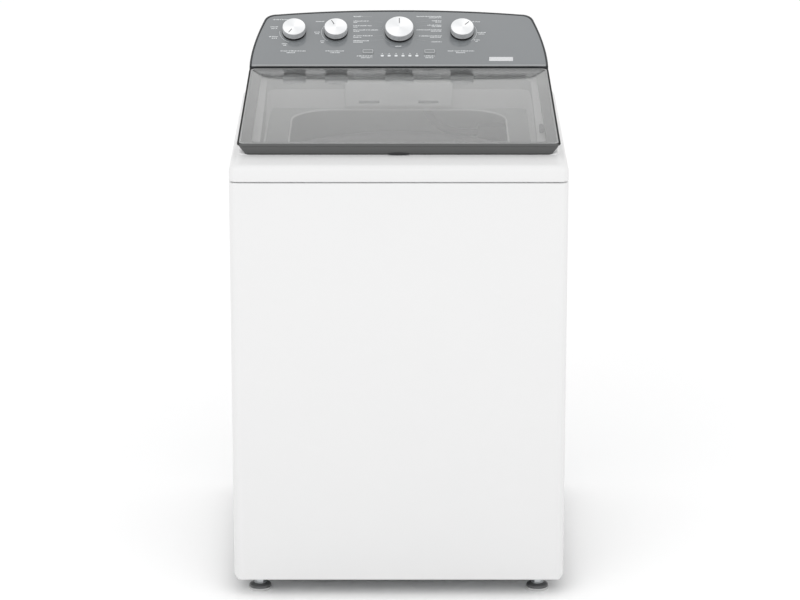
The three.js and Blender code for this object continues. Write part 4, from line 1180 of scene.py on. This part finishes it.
def make_gearcase():
    case = [(20.6, 150), (58, 150), (62, 152), (78, 162), (78, 196), (80, 198), (80, 204), (78, 206),
            (78, 214), (84, 219), (105, 224), (105, 235.6), (20.6, 235.6)]
    piece("gearcase_body", hooped(case, 64), "tub", "aluminium", replaces=["gearcase"], angle=30)
    fins = around(block((60, -1.6, 163), (92, 1.6, 222)), 9, start=20)
    piece("gearcase_fins", fins, "tub", "aluminium")
    piece("gearcase_bolts", around(hexagon(5.5, 218, 225, 96), 9), "tub", "aluminium", "zinc")


def make_motor():
    x, y, _ = centre_of("motor")
    can = [(0.01, 127), (34, 127), (40, 128), (56, 136), (61, 140), (62, 143), (62, 148), (60.5, 149),
           (60.5, 203), (62, 204), (62, 209), (58, 214), (44, 225), (20, 225), (0.01, 225)]
    piece("motor_can", lathe(can, 64, x, y), "tub", "motor_paint", replaces=["motor"], angle=30)
    strap = joined(block((60, -5, 141), (64, 5, 211)), hexagon(4, 211, 216, 57))
    piece("motor_straps", around(strap, 4, x, y, 45), "tub", "motor_paint", "zinc")
    windows = around(block((60, -4, 156), (61, 4, 196)), 16, x, y)
    piece("motor_windows", windows, "tub", "motor_paint", "steel")


def make_pump():
    x, y = centre_of("drain_pump").x, PUMP_Y
    body = [(0.01, 150), (38, 150), (42, 153), (42, 168), (40, 169), (40, 172), (42, 173), (42, 189),
            (34, 195), (24, 205), (16, 206), (15, 210), (15, 235.6), (0.01, 235.6)]
    piece("pump_body", lathe(body, 48, x, y), "tub", "black_plastic", replaces=["drain_pump"], angle=30)
    spout = lathe([(13, 0), (13, 34), (14, 35), (14, 38), (12.6, 42)], 32)
    piece("pump_spout", along_y(spout, x, y + 11, SPOUT_Z), "tub", "black_plastic")
    piece("pump_ribs", around(block((22, -1.2, 150.5), (42.2, 1.2, 196)), 8, x, y), "tub", "black_plastic")


def pulley(radius, bore, x, y, steps, dished=()):
    """A wheel with four belt grooves; dished gives the points of its hollow faces, from rim to rim."""
    low, high, count, face = PULLEY["low"], PULLEY["high"], 4, radius - 0.2
    pitch = (high - low - 3) / count
    grooves = [(face, low)]
    for i in range(count):
        z = low + 1.5 + pitch * i
        grooves += [(face, z), (radius - 1.8, z + pitch * 0.5), (face, z + pitch)]
    grooves.append((face, high))
    return lathe_ring([*grooves, *dished[:4], (bore, high), (bore, low), *dished[4:]], steps, x, y)


def make_belt(x, y):
    """The ribbed belt round both pulleys, with the motor's at x and y."""
    big, small = PULLEY["big"], PULLEY["small"]
    span, heading = math.hypot(x, y - TUB_Y), math.degrees(math.atan2(y - TUB_Y, x))
    lap, steps = math.acos((big - small) / span), 48
    section = [(4.2, 111), (4.2, 119), (3.6, 119.6), (1, 119.6), (0.4, 119)]
    for i in range(4):
        section += [(0.4, 118.6 - 2 * i), (1.6, 117.8 - 2 * i), (0.4, 117 - 2 * i)]
    loops = []
    for cx, radius, start, end in ((0, big, lap, 2 * math.pi - lap), (span, small, -lap, lap)):
        for i in range(steps + 1):
            a = start + (end - start) * i / steps
            loops.append([(cx + (radius + d) * math.cos(a), (radius + d) * math.sin(a), z)
                          for d, z in section])
    belt = moved(ring_of(loops), turned(heading, 0, TUB_Y))
    piece("drive_ribbed_belt", belt, "tub", "rubber", replaces=["drive_belt"], angle=30)


def make_drive():
    """The gearcase with its bolts, the motor, the pump, both pulleys and the ribbed belt."""
    make_gearcase()
    make_motor()
    make_pump()

    big, low, high = PULLEY["big"], PULLEY["low"], PULLEY["high"]
    dished = ((big - 6, high), (big - 9, high - 5), (30, high - 5), (26, high), (26, low), (30, low + 5),
              (big - 9, low + 5), (big - 6, low))
    wheel = pulley(big, 8.4, 0, TUB_Y, 96, dished)
    piece("drive_wheel", wheel, "agitation", "aluminium", replaces=["drive_pulley"], angle=30)
    spokes = around(block((24, -4, low + 0.6), (78, 4, high - 0.6)), 6)
    piece("drive_spokes", spokes, "agitation", "aluminium")
    x, y, _ = centre_of("motor_pulley")
    hub = lathe([(9, 121.5), (9, 126.6), (0.01, 126.6)], 32, x, y)
    wheel = joined(pulley(PULLEY["small"], 1, x, y, 48), hub)
    piece("motor_wheel", wheel, "motor_pulley", "steel", replaces=["motor_pulley"], angle=30)
    make_belt(x, y)


# ---------------------------------------------------------------- suspension and hoses

def make_suspension():
    for corner in CORNERS:
        rod, spring = "suspension_rod_" + corner, "suspension_spring_" + corner
        x, y, _ = centre_of(rod)
        shaft = [(12, 196), (15, 198), (15, 200.5), (9, 201.6), (4, 202), (3, 203), (3, 869)]
        head = [(3, 869.5), (11, 869.5), (11, 871), (9.6, 875), (6, 876.8), (0.01, 877)]
        skin = joined(lathe(shaft, 32, x, y), lathe(head, 32, x, y))
        piece(rod + "_skin", skin, "cabinet", "steel", "zinc", [rod], angle=30)
        coil = helix(SPRING["radius"], SPRING["wire"], SPRING["low"], SPRING["high"], SPRING["turns"], x, y)
        made = piece(spring + "_coil", coil, None, "steel", replaces=[spring], angle=60)
        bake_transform(made)


def corrugated(points, radius, pitch, depth, steps):
    """A ribbed hose along a smooth curve, plain near its ends."""
    plain = 22
    path = smooth_path(points, steps)
    lengths = [0.0]
    for a, b in zip(path, path[1:]):
        lengths.append(lengths[-1] + (b - a).length)
    whole = lengths[-1]
    count = int(whole / (pitch / 4))
    fine, rings = [], []
    k = 0
    for i in range(count + 1):
        want = whole * i / count
        while k < len(lengths) - 2 and lengths[k + 1] < want:
            k += 1
        share = (want - lengths[k]) / max(lengths[k + 1] - lengths[k], 1e-6)
        fine.append(path[k].lerp(path[k + 1], share))
        smooth = min(want, whole - want) < plain or i % 4 < 2
        rings.append(radius if smooth else radius - depth)
    return sweep(fine, radius, 20, rings)


def make_hoses():
    x, y, z = PUMP_X, PUMP_Y, SPOUT_Z
    drain = [(x, y + 54.5, z), (x, 180, z), (-152, 245, z), (-170, 288, 200), (-194, 300, 260),
             (-200, 303, 400), (-200, 303, 560), (-200, 302, 700), (-200, 303, 752), (-200, 309, 783),
             (-200, 317.5, 790)]
    made = piece("drain_hose_skin", corrugated(drain, 12, 8, 1.8, 10), None, "rubber", "hose", ["drain_hose"],
                 angle=25)
    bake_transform(made)
    x, z = HOSE_X, HOSE_Z
    fill = [(x, 217.3, z), (x, 240, z), (x, 270, 942), (x, 290, 925), (x, 298, 902), (66, 304, 874),
            (88, 311, 846), (125, 315, 831), (160.5, 315, 830)]
    tube = sweep(smooth_path(fill, 8), 9, 24)
    piece("fill_hose_skin", tube, "cabinet", "rubber", "ring_plastic", ["fill_hose"], angle=40)
    clamps = [along_y(lathe_ring([(9, 0), (9.8, 0), (9.8, 5), (9, 5)], 32), x, y, z) for y in (219.5, 232)]
    piece("hose_clamps", joined(*clamps), "cabinet", "rubber", "zinc", angle=30)


# ---------------------------------------------------------------- ports at the rear

def ridges(radius, height, count, pitch):
    """Plain round ridges, one pitch apart, along the height."""
    section = ((0, 0), (height, 0.3), (height, 0.5), (0, 0.8))
    return joined(*[lathe_ring([(radius + out, pitch * (i + share)) for out, share in section], 40)
                    for i in range(count)])


def make_ports():
    """The inlet valve with its two threaded ports and coils, the drain outlet and the cord gland."""
    rear, wall = CABINET_REAR - SHEET, 326
    port = lathe_ring([(9, 0), (12.2, 0), (12.2, 18.4), (11.6, 19), (9, 19)], 40)
    screen = lathe([(9.1, 0), (9.1, 2)], 32)
    thread_rings = ridges(12.1, 0.9, 6, 2.2)

    z, start, ports = centre_of("inlet_valve").z, rear - 3, (195, 245)
    body = block((173, 300, z - 17), (267, rear - 1, z + 17))
    piece("inlet_body", body, "cabinet", "white_plastic", "ring_plastic", ["inlet_valve"], bevel=2.5,
          segments=3)
    neck = along_x(lathe([(8, 0), (8, 13)], 24), 161, 315, z)
    coils = [block((x - 13, 303, z + 16.5), (x + 13, 329, z + 17)) for x in ports]
    piece("inlet_neck", joined(neck, *coils), "cabinet", "white_plastic", "ring_plastic")
    for name, shape, y, paint in (("ports", port, start, "port_plastic"),
                                  ("threads", thread_rings, start + 5.4, "port_plastic"),
                                  ("screens", screen, start + 4, "rubber")):
        copies = joined(*[along_y(shape, x, y, z) for x in ports])
        piece("inlet_" + name, copies, "cabinet", "white_plastic", paint, angle=30)

    x, _, z = centre_of("drain_outlet")
    pipe = [(11, 0), (15.2, 0), (15.2, 10.2), (22, 10.2), (22, 12.4), (21, 13.4), (15.2, 13.4), (15.2, 15),
            (16, 17.8), (14.6, 18), (14.6, 19), (16, 21.8), (14.6, 22), (14.6, 23.2), (13, 24), (11, 24)]
    outlet = along_y(lathe_ring(pipe, 48), x, wall, z)
    piece("drain_spigot", outlet, "cabinet", "black_plastic", replaces=["drain_outlet"], angle=30)

    x, _, z = centre_of("cord_gland")
    nut = lathe_ring([(15, 10.4), (15, 14.4), (8, 14.4), (8, 10.4)], 6)
    bush = lathe_ring([(5, 0), (9, 0), (9, 10), (9, 16), (7.6, 18), (5, 18)], 36)
    gland = along_y(joined(nut, bush), x, wall, z)
    piece("gland_skin", gland, "cabinet", "black_plastic", replaces=["cord_gland"], angle=30)


# ---------------------------------------------------------------- carried-over CAD nodes

CARRIED = {
    "galvanised": ("front_base_rail", "rear_base_rail"),
    "black_plastic": ("lid_lock", "hinge_bush_left", "hinge_bush_right", "lid_strike"),
    "board_green": ("control_board",),
    "aluminium": ("capacitor",),
    "steel": ("lid_hinge_pin_left", "lid_hinge_pin_right", "lock_bolt", "spin_tube", "agitator_shaft",
              *(name + "_shaft" for name in KNOBS)),
}


def paint_carried_nodes():
    for paint, nodes in CARRIED.items():
        for node in nodes:
            materials = frame["nodes"][node].data.materials
            materials.clear()
            materials.append(look(paint))


# ---------------------------------------------------------------- the whole machine

make_camera()
make_studio()
make_cabinet()
make_rear_panel()
make_top_panel()
make_flume()
make_feet()
make_lid()
make_console()
make_knobs()
make_buttons()
make_lens()
make_prints()
make_outer_tub()
make_basket()
make_wash_plate()
make_drive()
make_suspension()
make_hoses()
make_ports()
paint_carried_nodes()
